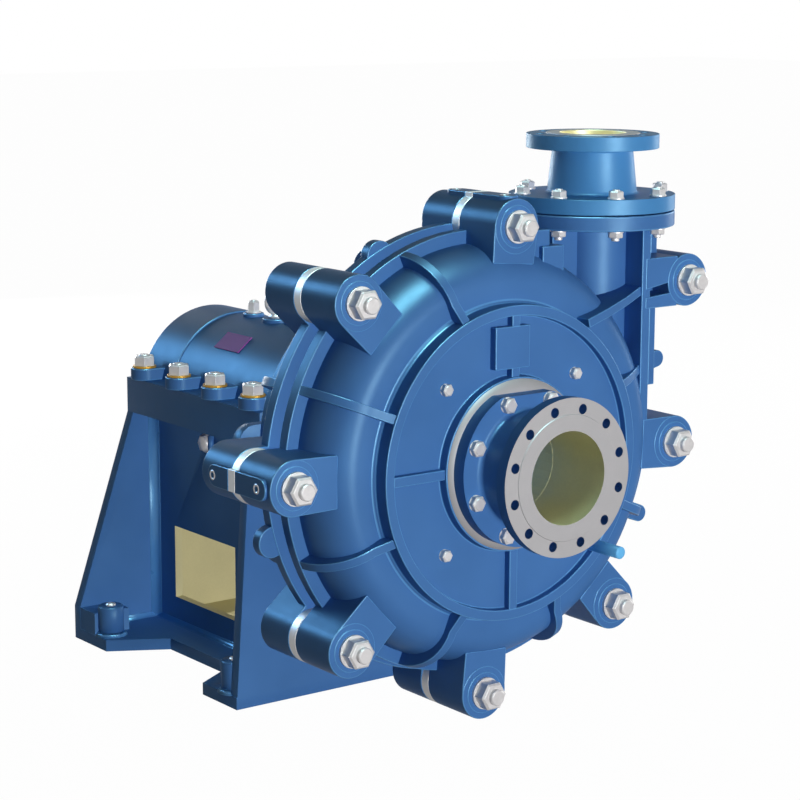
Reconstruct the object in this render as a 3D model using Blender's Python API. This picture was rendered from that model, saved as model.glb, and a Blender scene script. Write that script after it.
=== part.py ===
"""Horizontal centrifugal slurry pump with a split double casing and an oil-filled bearing pedestal.

Lengths are metres. In the pump's own frame X points right as seen from the suction, Y runs from the
suction flange towards the drive end and Z points up. The origin of that frame is the centre of the
suction flange's face, on the shaft's axis. The root empty then sets the whole pump on the ground.
"""
import math

import bmesh
import bpy
from mathutils import Matrix, Vector

# Gaps and cuts
SEAT = 0.0003              # gap between two pieces that touch
RUN = 0.0010               # gap between a turning piece and a still one
OVERRUN = 0.004            # how far a cutter passes the face that it cuts

# Suction nozzle
SUCTION_BORE_R = 0.100
SUCTION_LENGTH = 0.168
SUCTION_FLANGE_R = 0.170
SUCTION_FLANGE_T = 0.030
SUCTION_FACE_R = 0.134
SUCTION_FACE_T = 0.003
SUCTION_PCD_R = 0.1475
SUCTION_HOLE_R = 0.011
SUCTION_HOLES = 12
SUCTION_NECK_R = 0.127
NECK_FILLET = 0.010
NOZZLE_BASE_R = 0.173
NOZZLE_BASE_T = 0.033
NOZZLE_FLAT_Z = 0.158      # height of the flat on top of the base flange

# Front casing, measured from the mid-plane of the casing
HUB_HALF = 0.2017
HUB_R = 0.190
DISC_HALF = 0.188
DISC_R = 0.321
RIM_HALF = 0.194
RIM_R = 0.344
SHELF_HALF = 0.153
SHELF_R = 0.385
FLANGE_HALF = 0.040
FLANGE_FOOT_R = 0.462
FRONT_FLANGE_RIM = 0.027   # how far the flange stands out of its foot
JOINT_GAP = 0.025
CASING_WALL = 0.022
DISC_WALL = 0.025
THROAT_OUTER_R = 0.122
BRANCH_SIDE_OUT = 0.065    # side flange beside the discharge pipe, from the flange's foot
SPIRAL_SHIFT = 0.034       # how far the outline grows on the discharge side
FACE_RIB_W = 0.022
FACE_RIB_T = 0.005
FACE_PLATE_W = 0.094
FACE_PLATE_H = 0.092
FACE_PLATE_T = 0.018
FACE_PLATE_Z = 0.254
FACE_PLATE_X = -0.010

# Ribs that tie the discharge branch to the front casing: where each starts and ends, across and up
BRANCH_RIB_FROM = (0.212, 0.274)
BRANCH_RIB_TO_Z = 0.327
SIDE_RIB_FROM = (0.312, 0.140)
SIDE_RIB_TO_Z = 0.137
BRANCH_RIB_HALVES = (0.180, 0.162, 0.108, 0.042)   # how far it stands from the mid-plane, start to end
SIDE_RIB_HALVES = (0.180, 0.158, 0.105, 0.048)

# Rear casing, measured from the mid-plane
REAR_FLANGE_RIM = 0.039
REAR_BACK_HALF = 0.175
REAR_OPENING_R = 0.200
ADAPTER_R = 0.330
ADAPTER_WALL = 0.030
ADAPTER_LENGTH = 0.1247
ADAPTER_WINDOW_HALF_ANGLE = 36.0

# Radial ribs of both casings
RIB_T = 0.020
RIB_RISE = 0.018
RIB_ANGLES = (112.5, 157.5, 202.5, 247.5, 292.5, 337.5)
EAR_R = 0.034
EAR_T = 0.028
EAR_OUT = {115.0: 0.025, 196.5: 0.045, 12.0: 0.138, 338.0: 0.128}   # from the flange's foot

# Bosses with the casing studs: turn from the level line, and how far outside the flange's foot
STUD_SETS = {
    "top": (84.888, 0.04301),
    "upper_left": (134.923, 0.06338),
    "left": (179.354, 0.07003),
    "lower_left": (-137.138, 0.06870),
    "bottom": (-93.638, 0.05805),
    "lower_right": (-47.696, 0.04910),
    "right": (-2.423, 0.05847),
    "upper_right": (32.424, 0.19076),
}
BOSS_R = 0.060
BOSS_HALF = 0.121
WEB_INSET = 0.0012
BOSS_PAD = 0.0004          # how far a boss stands out of the joint face
STUD_R = 0.018
STUD_HOLE_R = 0.0195
STUD_OUT = 0.050
NUT_AF = 0.058
NUT_H = 0.029
WASHER_R = 0.041
WASHER_T = 0.007
SHIM_R = 0.0585

# Discharge
DISCHARGE_IN = 0.085       # pipe's middle, inward of the flange's foot
DISCHARGE_LENGTH = 0.170
DISCHARGE_BORE_R = 0.075
DISCHARGE_FLANGE_R = 0.150
DISCHARGE_FLANGE_T = 0.034
DISCHARGE_PCD_R = 0.125
DISCHARGE_HOLE_R = 0.011
DISCHARGE_HOLES = 8
DISCHARGE_NECK_TOP_R = 0.092
DISCHARGE_NECK_LOW_R = 0.101
DISCHARGE_FACE_R = 0.106
DISCHARGE_FACE_T = 0.002
BASE_FLANGE_R = 0.188
BASE_FLANGE_T = 0.034
BASE_FLANGE_RISE = 0.086   # top of the upper plate above the flange's foot
GASKET_T = 0.002
GASKET_R = 0.150

# Volute liner and the wear plates
LINER_WALL = 0.025
LINER_LIP_R = 0.331
PIPE_R = 0.086
BACK_PLATE_T = 0.030
BACK_PLATE_BORE_R = 0.104

# Impeller
IMPELLER_R = 0.300
IMPELLER_HALF = 0.070
IMPELLER_EYE_R = 0.095
SHROUD_T = 0.022
IMPELLER_HUB_R = 0.068
HUB_NOSE_LENGTH = 0.095
HUB_NOSE_R = 0.030
HUB_SHOULDER_R = 0.060
HUB_SHOULDER_LENGTH = 0.068
VANES = 5
VANE_T = 0.024
VANE_SWEEP = 62.0

# Seal
EXPELLER_R = 0.158
EXPELLER_T = 0.014
EXPELLER_VANE_T = 0.012
EXPELLER_VANES = 8
EXPELLER_CHAMBER_R = 0.166
SEAL_FLANGE_R = 0.242
SEAL_FLANGE_T = 0.022
STUFFING_R = 0.092
STUFFING_LENGTH = 0.068
SLEEVE_R = 0.060
GLAND_R = 0.084
GLAND_T = 0.020
SLINGER_R = 0.080
SLINGER_T = 0.008

# Shaft
SHAFT_NOSE_R = 0.040
SHAFT_SEAL_R = 0.047
SHAFT_BEARING_R = 0.060
SHAFT_MIDDLE_R = 0.070
SHAFT_END_R = 0.050
SHAFT_END_LENGTH = 0.175
SHAFT_NOSE_IN = 0.080
KEY_W = 0.014
KEY_H = 0.018
KEY_LENGTH = 0.110

# Bearings
BEARING_R = 0.130
BEARING_W = 0.046
INNER_RING_R = 0.080
OUTER_RING_IN_R = 0.112
ROLLERS = 11
CAGE_IN_R = 0.0905
CAGE_OUT_R = 0.1015
FRONT_BEARING_IN = 0.045   # from the housing's front face to the bearing
COVER_R = 0.162
COVER_T = 0.026
COVER_DOME_T = 0.018
COVER_NECK_R = 0.100
COVER_SPIGOT = 0.012

# Pedestal and bearing housing
SHAFT_HEIGHT = 0.605
PEDESTAL_LENGTH = 0.730
PLATE_T = 0.028
FRONT_PLATE_R = 0.388
FRONT_PLATE_HOLE_R = 0.215
FRONT_WAIST_X = 0.358
FRONT_WAIST_Z = -0.132
FRONT_TOP_TURN = 7.0       # where the round edge of the front plate ends, above level
FRONT_FOOT_X = 0.397
REAR_FOOT_X = 0.407
REAR_KNEE_HEIGHT = 0.083
SIDE_X = 0.183
SIDE_T = 0.020
BLOCK_X = 0.245
BLOCK_LENGTH = 0.602
BLOCK_DROP = 0.045
SPLIT_Z = 0.042
TROUGH_DROP = 0.200
HOUSING_SET_BACK = 0.030   # from the pedestal's front face to the housing's front face
CHAMBER_R = 0.165
SEAT_W = 0.056
WINDOW_FROM = 0.117        # from the pedestal's rear face
WINDOW_LENGTH = 0.278
WINDOW_SILL = 0.095        # above the floor
WINDOW_HEIGHT = 0.183
RAIL_X = 0.270
RAIL_IN_X = 0.140
FOOT_T = 0.028
REAR_FOOT_DEPTH = 0.155
REAR_FOOT_SLANT = 0.077
FRONT_FOOT_DEPTH = 0.145
FOOT_BLOCK_X = 0.310
FOOT_BLOCK_DEPTH = 0.100
FOOT_BLOCK_TOP = 0.083
POST_R = 0.031
POST_X = 0.368
POST_HEIGHT = 0.090
POST_REAR_IN = 0.112
POST_FRONT_IN = 0.090
ANCHOR_HOLE_R = 0.014

# Bearing cap
CAP_R = 0.199
CAP_RIM_R = 0.203
CAP_RIM_W = 0.138
LUG_X = 0.228
LUG_R = 0.034
LUG_T = 0.030
LUG_REAR_IN = 0.058
LUG_PITCH = 0.1635
LUG_ROWS = 4
CAP_BOLT_R = 0.015
CAP_BOLT_HOLE_R = 0.0165
CAP_BOLT_AF = 0.046
CAP_BOLT_HEAD = 0.030
CAP_BOLT_GRIP = 0.070
CAP_WASHER_R = 0.029
CAP_WASHER_T = 0.005
FILLER_IN = 0.205          # from the housing's rear face
FILLER_BOSS_R = 0.026
FILLER_AF = 0.027
FILLER_H = 0.030
EYE_IN = 0.310
EYE_BOSS_R = 0.036
EYE_RING_R = 0.028
EYE_WIRE_R = 0.008
EYE_NECK_R = 0.012
EYE_COLLAR_R = 0.022
EYE_COLLAR_T = 0.008
TOP_BOSS_RISE = 0.008
PLUG_DEPTH = 0.018
VENT_IN = 0.372
VENT_BOSS_R = 0.018
VENT_R = 0.011
VENT_H = 0.012
PLATE_ANGLES = (44.0, 59.0)
PLATE_IN = 0.250
PLATE_LENGTH = 0.107
PLATE_THICK = 0.0015
LEVEL_IN = 0.270
LEVEL_DROP = 0.090
LEVEL_R = 0.019
LEVEL_T = 0.018
DRAIN_X = 0.217
DRAIN_Z = -0.208
DRAIN_R = 0.014
DRAIN_LENGTH = 0.094

# Facets round a full turn
STEPS_CASING = 32
STEPS_ROUND = 24
STEPS_SMALL = 12
STEPS_ROD = 8
ARC_STEPS = 2
FRONT_STEPS = 5
CREASE = math.radians(35.0)
FLAT = math.radians(0.2)
NUDGE = math.radians(0.004)   # turn of a tool whose edges fall on the body's own
TRIES = 8

# Places that follow from the sizes above
FRONT_FLANGE_R = FLANGE_FOOT_R + FRONT_FLANGE_RIM
REAR_FLANGE_R = FLANGE_FOOT_R + REAR_FLANGE_RIM
BRANCH_SIDE_X = FLANGE_FOOT_R + BRANCH_SIDE_OUT
BRANCH_RIB_TO = (BRANCH_SIDE_X - RIB_T / 2, BRANCH_RIB_TO_Z)
SIDE_RIB_TO = (BRANCH_SIDE_X - RIB_T / 2, SIDE_RIB_TO_Z)
DISCHARGE_X = FLANGE_FOOT_R - DISCHARGE_IN
BASE_FLANGE_TOP = FLANGE_FOOT_R + BASE_FLANGE_RISE
DISCHARGE_TOP = BASE_FLANGE_TOP - BASE_FLANGE_T + DISCHARGE_LENGTH
EAR_REACH = {degrees: FLANGE_FOOT_R + out for degrees, out in EAR_OUT.items()}
STUD_PLACES = {name: ((FLANGE_FOOT_R + out) * math.cos(math.radians(degrees)),
                      (FLANGE_FOOT_R + out) * math.sin(math.radians(degrees)))
               for name, (degrees, out) in STUD_SETS.items()}
MID_Y = SUCTION_LENGTH + SEAT + HUB_HALF
REAR_BACK_Y = MID_Y + REAR_BACK_HALF
PEDESTAL_Y = REAR_BACK_Y + ADAPTER_LENGTH + SEAT
PEDESTAL_END_Y = PEDESTAL_Y + PEDESTAL_LENGTH
HOUSING_Y = PEDESTAL_Y + HOUSING_SET_BACK
FLOOR_Z = -SHAFT_HEIGHT
REAR_KNEE_Z = FLOOR_Z + REAR_KNEE_HEIGHT
WINDOW_Z = (FLOOR_Z + WINDOW_SILL, FLOOR_Z + WINDOW_SILL + WINDOW_HEIGHT)
IMPELLER_BACK_Y = MID_Y + IMPELLER_HALF
SEAL_FACE_Y = REAR_BACK_Y + SEAT
FRONT_BEARING_Y = HOUSING_Y + FRONT_BEARING_IN
REAR_BEARING_Y = PEDESTAL_END_Y - FRONT_BEARING_IN - BEARING_W
SHAFT_END_Y = PEDESTAL_END_Y + COVER_T + COVER_DOME_T + SHAFT_END_LENGTH
LOWER_PLATE_TOP = BASE_FLANGE_TOP - BASE_FLANGE_T - GASKET_T - 2 * SEAT
LOWER_PLATE_LOW = LOWER_PLATE_TOP - BASE_FLANGE_T
BRANCH_TOP = LOWER_PLATE_LOW - SEAT

MATERIALS = {
    "blue_paint": ((0.055, 0.162, 0.413, 1.0), 0.35, 0.10),
    "machined_steel": ((0.48, 0.47, 0.48, 1.0), 0.35, 0.90),
    "bright_fastener": ((0.80, 0.79, 0.80, 1.0), 0.25, 0.95),
    "bare_iron": ((0.38, 0.34, 0.17, 1.0), 0.60, 0.30),
    "wear_iron": ((0.22, 0.22, 0.23, 1.0), 0.50, 0.70),
    "dark_steel": ((0.10, 0.10, 0.11, 1.0), 0.40, 0.80),
    "gasket_rubber": ((0.02, 0.02, 0.02, 1.0), 0.80, 0.00),
    "brass": ((0.60, 0.36, 0.08, 1.0), 0.35, 0.90),
    "plate_purple": ((0.30, 0.05, 0.30, 1.0), 0.50, 0.20),
    "light_blue_paint": ((0.14, 0.42, 0.80, 1.0), 0.35, 0.10),
}


def clear_scene():
    for item in list(bpy.data.objects):
        bpy.data.objects.remove(item, do_unlink=True)


def material(slot):
    """The named paint or metal, made once."""
    found = bpy.data.materials.get(slot)
    if found:
        return found
    colour, roughness, metallic = MATERIALS[slot]
    made = bpy.data.materials.new(slot)
    made.use_nodes = True
    shader = made.node_tree.nodes["Principled BSDF"]
    shader.inputs["Base Color"].default_value = colour
    shader.inputs["Roughness"].default_value = roughness
    shader.inputs["Metallic"].default_value = metallic
    made.diffuse_color = colour
    return made


def solid(bm, name="tool"):
    """A mesh object of a closed bmesh, with its faces pointing out."""
    bmesh.ops.recalc_face_normals(bm, faces=bm.faces)
    mesh = bpy.data.meshes.new(name)
    bm.to_mesh(mesh)
    bm.free()
    made = bpy.data.objects.new(name, mesh)
    bpy.context.scene.collection.objects.link(made)
    return made


def lathe(outline, steps=STEPS_CASING, phase_share=0.5):
    """A closed outline of (y, r) points, turned about the shaft's axis."""
    bm = bmesh.new()
    turn = Matrix.Rotation(2 * math.pi * phase_share / steps, 4, "Y")
    verts = [bm.verts.new(turn @ Vector((r, y, 0))) for y, r in outline]
    edges = [bm.edges.new((a, b)) for a, b in zip(verts, verts[1:] + verts[:1])]
    bmesh.ops.spin(bm, geom=verts + edges, axis=(0, 1, 0), cent=(0, 0, 0), angle=2 * math.pi,
                   steps=steps, use_merge=True)
    bmesh.ops.remove_doubles(bm, verts=bm.verts, dist=SEAT / 10)
    flat = [face for face in bm.faces if face.calc_area() < SEAT * SEAT / 100]
    bmesh.ops.delete(bm, geom=flat, context="FACES")
    loose = [edge for edge in bm.edges if not edge.link_faces]
    bmesh.ops.delete(bm, geom=loose, context="EDGES")
    return solid(bm)


def move(item, x=0, y=0, z=0):
    item.data.transform(Matrix.Translation((x, y, z)))
    return item


def upright(item):
    """Turns a piece made about Y so that its axis points up and its y becomes z."""
    item.data.transform(Matrix.Rotation(math.pi / 2, 4, "X"))
    return item


def sideways(item):
    """Turns a piece made about Y so that its axis points to -X and its y becomes -x."""
    item.data.transform(Matrix.Rotation(math.pi / 2, 4, "Z"))
    return item


def rod(radius, start, end, steps=STEPS_SMALL):
    """A round bar about Y from start to end."""
    return lathe([(start, 0), (start, radius), (end, radius), (end, 0)], steps)


def prism(outline, start, end, axis="Y"):
    """An outline of (x, z) points, or of (x, y) points for axis Z, drawn out from start to end."""
    bm = bmesh.new()
    along_y = axis == "Y"
    place = (lambda a, b: (a, start, b)) if along_y else (lambda a, b: (a, b, start))
    face = bm.faces.new([bm.verts.new(place(a, b)) for a, b in outline])
    grown = bmesh.ops.extrude_face_region(bm, geom=[face])
    tops = [part for part in grown["geom"] if isinstance(part, bmesh.types.BMVert)]
    step = (0, end - start, 0) if along_y else (0, 0, end - start)
    bmesh.ops.translate(bm, verts=tops, vec=step)
    return solid(bm)


def block(x, y, z):
    """A box between the two values of each axis."""
    return prism([(x[0], z[0]), (x[1], z[0]), (x[1], z[1]), (x[0], z[1])], y[0], y[1])


def hexagon(across_flats, start, end):
    return lathe([(start, 0), (start, across_flats / math.sqrt(3)),
                  (end, across_flats / math.sqrt(3)), (end, 0)], 6, 0)


def tidy(mesh, dissolve):
    """Merges corners that fell together, and flat faces where asked; true where the mesh stays closed."""
    for merge in (True, False):
        bm = bmesh.new()
        bm.from_mesh(mesh)
        if merge:
            bmesh.ops.remove_doubles(bm, verts=bm.verts, dist=SEAT / 30)
        if dissolve:
            bmesh.ops.dissolve_limit(bm, angle_limit=FLAT, verts=bm.verts, edges=bm.edges)
        closed = all(len(edge.link_faces) == 2 for edge in bm.edges)
        if closed:
            bm.to_mesh(mesh)
        bm.free()
        if closed:
            return True
    return False


def boolean(body, tool, operation):
    """Joins, cuts or trims body with tool, and removes the tool."""
    step = body.modifiers.new(operation.lower(), "BOOLEAN")
    step.operation = operation
    step.solver = "EXACT"
    step.object = tool
    whole = body.data
    for turn in range(TRIES):
        if turn % 2:
            body.data = whole.copy()
            tidy(body.data, True)
        else:
            body.data = whole
            tool.data.transform(Matrix.Rotation(NUDGE * turn / 2, 4, "Y"))
        bpy.context.view_layer.update()
        graph = bpy.context.evaluated_depsgraph_get()
        mesh = bpy.data.meshes.new_from_object(body.evaluated_get(graph))
        if tidy(mesh, False):
            break
    body.modifiers.clear()
    body.data = mesh
    bpy.data.objects.remove(tool, do_unlink=True)
    return body


def join(body, *tools):
    for tool in tools:
        boolean(body, tool, "UNION")
    return body


def cut(body, *tools):
    for tool in tools:
        boolean(body, tool, "DIFFERENCE")
    return body


def ring_of(count, radius, first_degrees=None):
    """Places evenly round a circle, straddling the upright line unless a first angle is given."""
    first = 180.0 / count if first_degrees is None else first_degrees
    turns = [math.radians(first + 360.0 * i / count) for i in range(count)]
    return [(radius * math.cos(turn), radius * math.sin(turn)) for turn in turns]


def finish(item, name, slot, parent):
    """Names a piece, paints it and hangs it under its parent."""
    tidy(item.data, True)
    item.name = name
    item.data.name = name
    item.data.materials.clear()
    item.data.materials.append(material(slot))
    item.data.shade_smooth()
    item.data.set_sharp_from_angle(angle=CREASE)
    item.parent = parent
    return item


def empty(name, parent=None, y=0):
    made = bpy.data.objects.new(name, None)
    made.location = (0, y, 0)
    made.parent = parent
    bpy.context.scene.collection.objects.link(made)
    return made


def arc(centre_y, centre_r, span_y, span_r, start_degrees, end_degrees, count=ARC_STEPS):
    """Points (y, r) along a piece of an ellipse."""
    turns = [math.radians(start_degrees + (end_degrees - start_degrees) * i / count)
             for i in range(count + 1)]
    return [(centre_y + span_y * math.cos(turn), centre_r + span_r * math.sin(turn))
            for turn in turns]


def polar(radius, degrees):
    return radius * math.cos(math.radians(degrees)), radius * math.sin(math.radians(degrees))


def suction_nozzle():
    neck_start = SUCTION_FLANGE_T
    neck_end = SUCTION_LENGTH - NOZZLE_BASE_T
    body = lathe([
        (0, SUCTION_BORE_R), (0, SUCTION_FACE_R), (SUCTION_FACE_T, SUCTION_FACE_R),
        (SUCTION_FACE_T, SUCTION_FLANGE_R), (neck_start, SUCTION_FLANGE_R),
        (neck_start, SUCTION_NECK_R + NECK_FILLET), (neck_start + NECK_FILLET, SUCTION_NECK_R),
        (neck_end - NECK_FILLET, SUCTION_NECK_R), (neck_end, SUCTION_NECK_R + NECK_FILLET),
        (neck_end, NOZZLE_BASE_R), (SUCTION_LENGTH, NOZZLE_BASE_R), (SUCTION_LENGTH, SUCTION_BORE_R),
    ], STEPS_ROUND)
    for x, z in ring_of(SUCTION_HOLES, SUCTION_PCD_R):
        cut(body, move(rod(SUCTION_HOLE_R, -OVERRUN, neck_start + OVERRUN, 8), x=x, z=z))
    top = block((-NOZZLE_BASE_R, NOZZLE_BASE_R), (neck_end - OVERRUN, SUCTION_LENGTH + OVERRUN),
                (NOZZLE_FLAT_Z, NOZZLE_BASE_R + OVERRUN))
    return cut(body, top)


def casing_outline(radius, pipe_flange_top):
    """The flange's outline: a circle that grows towards the discharge and then runs straight up."""
    right = radius + SPIRAL_SHIFT
    count = STEPS_CASING
    points = []
    for i in range(count + 1):
        turn = math.radians(90.0 + 270.0 * i / count)
        shift = SPIRAL_SHIFT * max(0.0, math.cos(turn))
        points.append((radius * math.cos(turn) + shift, radius * math.sin(turn)))
    points.append((right, pipe_flange_top))
    inner_x = DISCHARGE_X - (right - DISCHARGE_X)
    points.append((inner_x, pipe_flange_top))
    last = math.degrees(math.acos(inner_x / radius))
    points += [polar(radius, last + (90.0 - last) * i / ARC_STEPS) for i in range(ARC_STEPS)]
    return points


def stud_lug(name, start, end):
    """A round boss with a straight web that runs in to the casing."""
    x, z = STUD_PLACES[name]
    reach = math.hypot(x, z)
    turn = math.atan2(z, x)
    count = STEPS_SMALL // 2
    root = -(reach - SHELF_R)
    outline = [polar(BOSS_R, -90.0 + 180.0 * i / count) for i in range(count + 1)]
    outline += [(root, BOSS_R), (root, -BOSS_R)]
    lug = prism(outline, start, end)
    lug.data.transform(Matrix.Rotation(-turn, 4, "Y"))
    return move(lug, x=x, z=z)


def branch_arm(start, end):
    """The arm that carries the upper right boss, level from the pipe's side flange."""
    x, z = STUD_PLACES["upper_right"]
    count = STEPS_SMALL // 2
    root = BRANCH_SIDE_X - x - RIB_T
    outline = [polar(BOSS_R, -90.0 + 180.0 * i / count) for i in range(count + 1)]
    outline += [(root, BOSS_R), (root, -BOSS_R)]
    return move(prism(outline, start, end), x=x, z=z)


def lug_set(body, boss_start, boss_end, web_start, web_end):
    """Joins every boss and its web to a casing half and drills the stud holes."""
    for name, (x, z) in STUD_PLACES.items():
        if name == "upper_right":
            join(body, branch_arm(boss_start, boss_end))
        else:
            join(body, stud_lug(name, web_start, web_end))
            join(body, move(rod(BOSS_R, boss_start, boss_end), x=x, z=z))
    return body


def casing_bowl(side):
    """The hollow of one casing half, as a cutter: side is -1 for the suction half, 1 for the rear."""
    def at(half):
        return MID_Y + side * half
    bulge_y = SHELF_HALF - FLANGE_HALF
    wall = CASING_WALL
    inner_shelf = SHELF_HALF - wall + SEAT
    mouth = (FLANGE_FOOT_R - wall)
    bend = [(at(FLANGE_HALF + (bulge_y - wall) * math.sin(turn)),
             SHELF_R - wall + (mouth - SHELF_R + wall) * math.cos(turn))
            for turn in [math.pi / 2 * i / ARC_STEPS for i in range(ARC_STEPS + 1)]]
    deepest = (DISC_HALF - DISC_WALL) if side < 0 else (REAR_BACK_HALF - DISC_WALL)
    return lathe([(at(0), 0), (at(0), mouth), *bend, (at(inner_shelf), LINER_LIP_R - SEAT),
                  (at(deepest), LINER_LIP_R - SEAT), (at(deepest), 0)])


def radial_rib(degrees, side, inner_r, outer_r, inner_half, shelf_half):
    """A rib that follows the bulge from the rim to the flange."""
    count = ARC_STEPS
    span_y = shelf_half - FLANGE_HALF + RIB_RISE
    span_r = outer_r - SHELF_R
    line = [(inner_r, inner_half)]
    for i in range(count + 1):
        turn = math.pi / 2 * i / count
        line.append((SHELF_R + span_r * math.sin(turn), FLANGE_HALF + span_y * math.cos(turn)))
    line += [(outer_r, JOINT_GAP), (inner_r, JOINT_GAP)]
    bm = bmesh.new()
    face = bm.faces.new([bm.verts.new((r, MID_Y + side * half, -RIB_T / 2)) for r, half in line])
    grown = bmesh.ops.extrude_face_region(bm, geom=[face])
    tops = [part for part in grown["geom"] if isinstance(part, bmesh.types.BMVert)]
    bmesh.ops.translate(bm, verts=tops, vec=(0, 0, RIB_T))
    rib = solid(bm)
    rib.data.transform(Matrix.Rotation(-math.radians(degrees), 4, "Y"))
    return rib


def branch_rib(start, end, halves):
    """A rib that runs from the rim over the bulge and across the branch to its side flange."""
    length = math.hypot(end[0] - start[0], end[1] - start[1])
    front = [(length * i / (len(halves) - 1), MID_Y - half) for i, half in enumerate(halves)]
    deep = MID_Y - FLANGE_HALF + RIB_T / 2
    rib = prism(front + [(length, deep), (0, deep)], -RIB_T / 2, RIB_T / 2, "Z")
    slope = math.atan2(end[1] - start[1], end[0] - start[0])
    rib.data.transform(Matrix.Rotation(-slope, 4, "Y"))
    return move(rib, x=start[0], z=start[1])


def bulge_points(side, foot_r=FLANGE_FOOT_R):
    span_y = SHELF_HALF - FLANGE_HALF
    turns = [math.pi / 2 * i / (ARC_STEPS + 1) for i in range(ARC_STEPS + 2)]
    return [(MID_Y + side * (FLANGE_HALF + span_y * math.cos(turn)),
             SHELF_R + (foot_r - SHELF_R) * math.sin(turn)) for turn in turns]


def pipe_cutter():
    """The room that the volute liner's pipe needs where it leaves the casing."""
    pipe = upright(rod(PIPE_R + SEAT, 0, BASE_FLANGE_TOP, STEPS_ROUND))
    return move(pipe, x=DISCHARGE_X, y=MID_Y)


def front_casing():
    joint = MID_Y - JOINT_GAP / 2
    flange_y = MID_Y - FLANGE_HALF
    body = prism(casing_outline(FRONT_FLANGE_R, BRANCH_TOP), flange_y, joint)
    shell = lathe([
        (MID_Y - HUB_HALF, 0), (MID_Y - HUB_HALF, HUB_R), (MID_Y - DISC_HALF, HUB_R + FACE_RIB_T),
        (MID_Y - DISC_HALF, DISC_R), (MID_Y - RIM_HALF, DISC_R), (MID_Y - RIM_HALF, RIM_R),
        (MID_Y - SHELF_HALF, RIM_R + FACE_RIB_T), *bulge_points(-1),
        (joint - SEAT, FLANGE_FOOT_R), (joint - SEAT, 0),
    ])
    join(body, shell)
    for degrees in RIB_ANGLES:
        join(body, radial_rib(degrees, -1, RIM_R - FACE_RIB_T, FRONT_FLANGE_R - SEAT * 2,
                              RIM_HALF - FACE_RIB_T, SHELF_HALF))
    lug_set(body, MID_Y - BOSS_HALF, joint + BOSS_PAD, MID_Y - BOSS_HALF + WEB_INSET, joint - WEB_INSET)
    face_y = MID_Y - DISC_HALF
    for degrees in (0.0, 90.0, 180.0, 270.0):
        bar = block((HUB_R - FACE_RIB_T, DISC_R + FACE_RIB_T), (face_y - FACE_RIB_T, face_y + FACE_RIB_T),
                    (-FACE_RIB_W / 2, FACE_RIB_W / 2))
        bar.data.transform(Matrix.Rotation(-math.radians(degrees), 4, "Y"))
        join(body, bar)
    pad_x = (FACE_PLATE_X - FACE_PLATE_W / 2, FACE_PLATE_X + FACE_PLATE_W / 2)
    pad_z = (FACE_PLATE_Z - FACE_PLATE_H / 2, FACE_PLATE_Z + FACE_PLATE_H / 2)
    join(body, block(pad_x, (face_y - FACE_PLATE_T, face_y + FACE_RIB_T), pad_z))
    side_wall = block((BRANCH_SIDE_X - RIB_T, BRANCH_SIDE_X), (flange_y - RIB_T, flange_y + RIB_T / 2),
                      (FACE_PLATE_H, BRANCH_TOP - SEAT))
    join(body, side_wall)
    join(body, branch_rib(BRANCH_RIB_FROM, BRANCH_RIB_TO, BRANCH_RIB_HALVES),
         branch_rib(SIDE_RIB_FROM, SIDE_RIB_TO, SIDE_RIB_HALVES))
    cut(body, casing_bowl(-1), pipe_cutter(),
        rod(THROAT_OUTER_R + SEAT, 0, MID_Y, STEPS_CASING))
    return drill_studs(body)


def drill_studs(body):
    for x, z in STUD_PLACES.values():
        cut(body, move(rod(STUD_HOLE_R, 0, MID_Y + MID_Y, STEPS_ROD), x=x, z=z))
    return body


def rear_casing():
    joint = MID_Y + JOINT_GAP / 2
    flange_y = MID_Y + FLANGE_HALF
    body = prism(casing_outline(REAR_FLANGE_R, BRANCH_TOP), joint, flange_y)
    adapter_end = PEDESTAL_Y - SEAT
    shell = lathe([
        (joint + SEAT, 0), (joint + SEAT, FLANGE_FOOT_R), *reversed(bulge_points(1)),
        (REAR_BACK_Y, SHELF_R), (REAR_BACK_Y, ADAPTER_R), (adapter_end, ADAPTER_R),
        (adapter_end, ADAPTER_R - ADAPTER_WALL), (REAR_BACK_Y, ADAPTER_R - ADAPTER_WALL),
        (REAR_BACK_Y, 0),
    ])
    join(body, shell)
    for degrees in RIB_ANGLES:
        join(body, radial_rib(degrees, 1, RIM_R, REAR_FLANGE_R - SEAT * 2, SHELF_HALF, SHELF_HALF))
    lug_set(body, joint - BOSS_PAD, MID_Y + BOSS_HALF, joint + WEB_INSET, MID_Y + BOSS_HALF - WEB_INSET)
    for degrees, reach in EAR_REACH.items():
        ear = block((FLANGE_FOOT_R, reach), (joint, joint + EAR_T), (-EAR_R, EAR_R))
        tip = move(rod(EAR_R, joint, joint + EAR_T), x=reach)
        join(ear, tip)
        ear.data.transform(Matrix.Rotation(-math.radians(degrees), 4, "Y"))
        join(body, ear)
    cut(body, casing_bowl(1), pipe_cutter(), rod(REAR_OPENING_R, MID_Y, REAR_BACK_Y + OVERRUN, STEPS_ROUND))
    for middle in (0.0, 180.0):
        reach = ADAPTER_R + OVERRUN
        half = reach * math.tan(math.radians(ADAPTER_WINDOW_HALF_ANGLE))
        window = prism([(0, 0), (reach, -half), (reach, half)], REAR_BACK_Y + ADAPTER_WALL,
                       adapter_end - ADAPTER_WALL)
        window.data.transform(Matrix.Rotation(-math.radians(middle), 4, "Y"))
        cut(body, window)
    return drill_studs(body)


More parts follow.
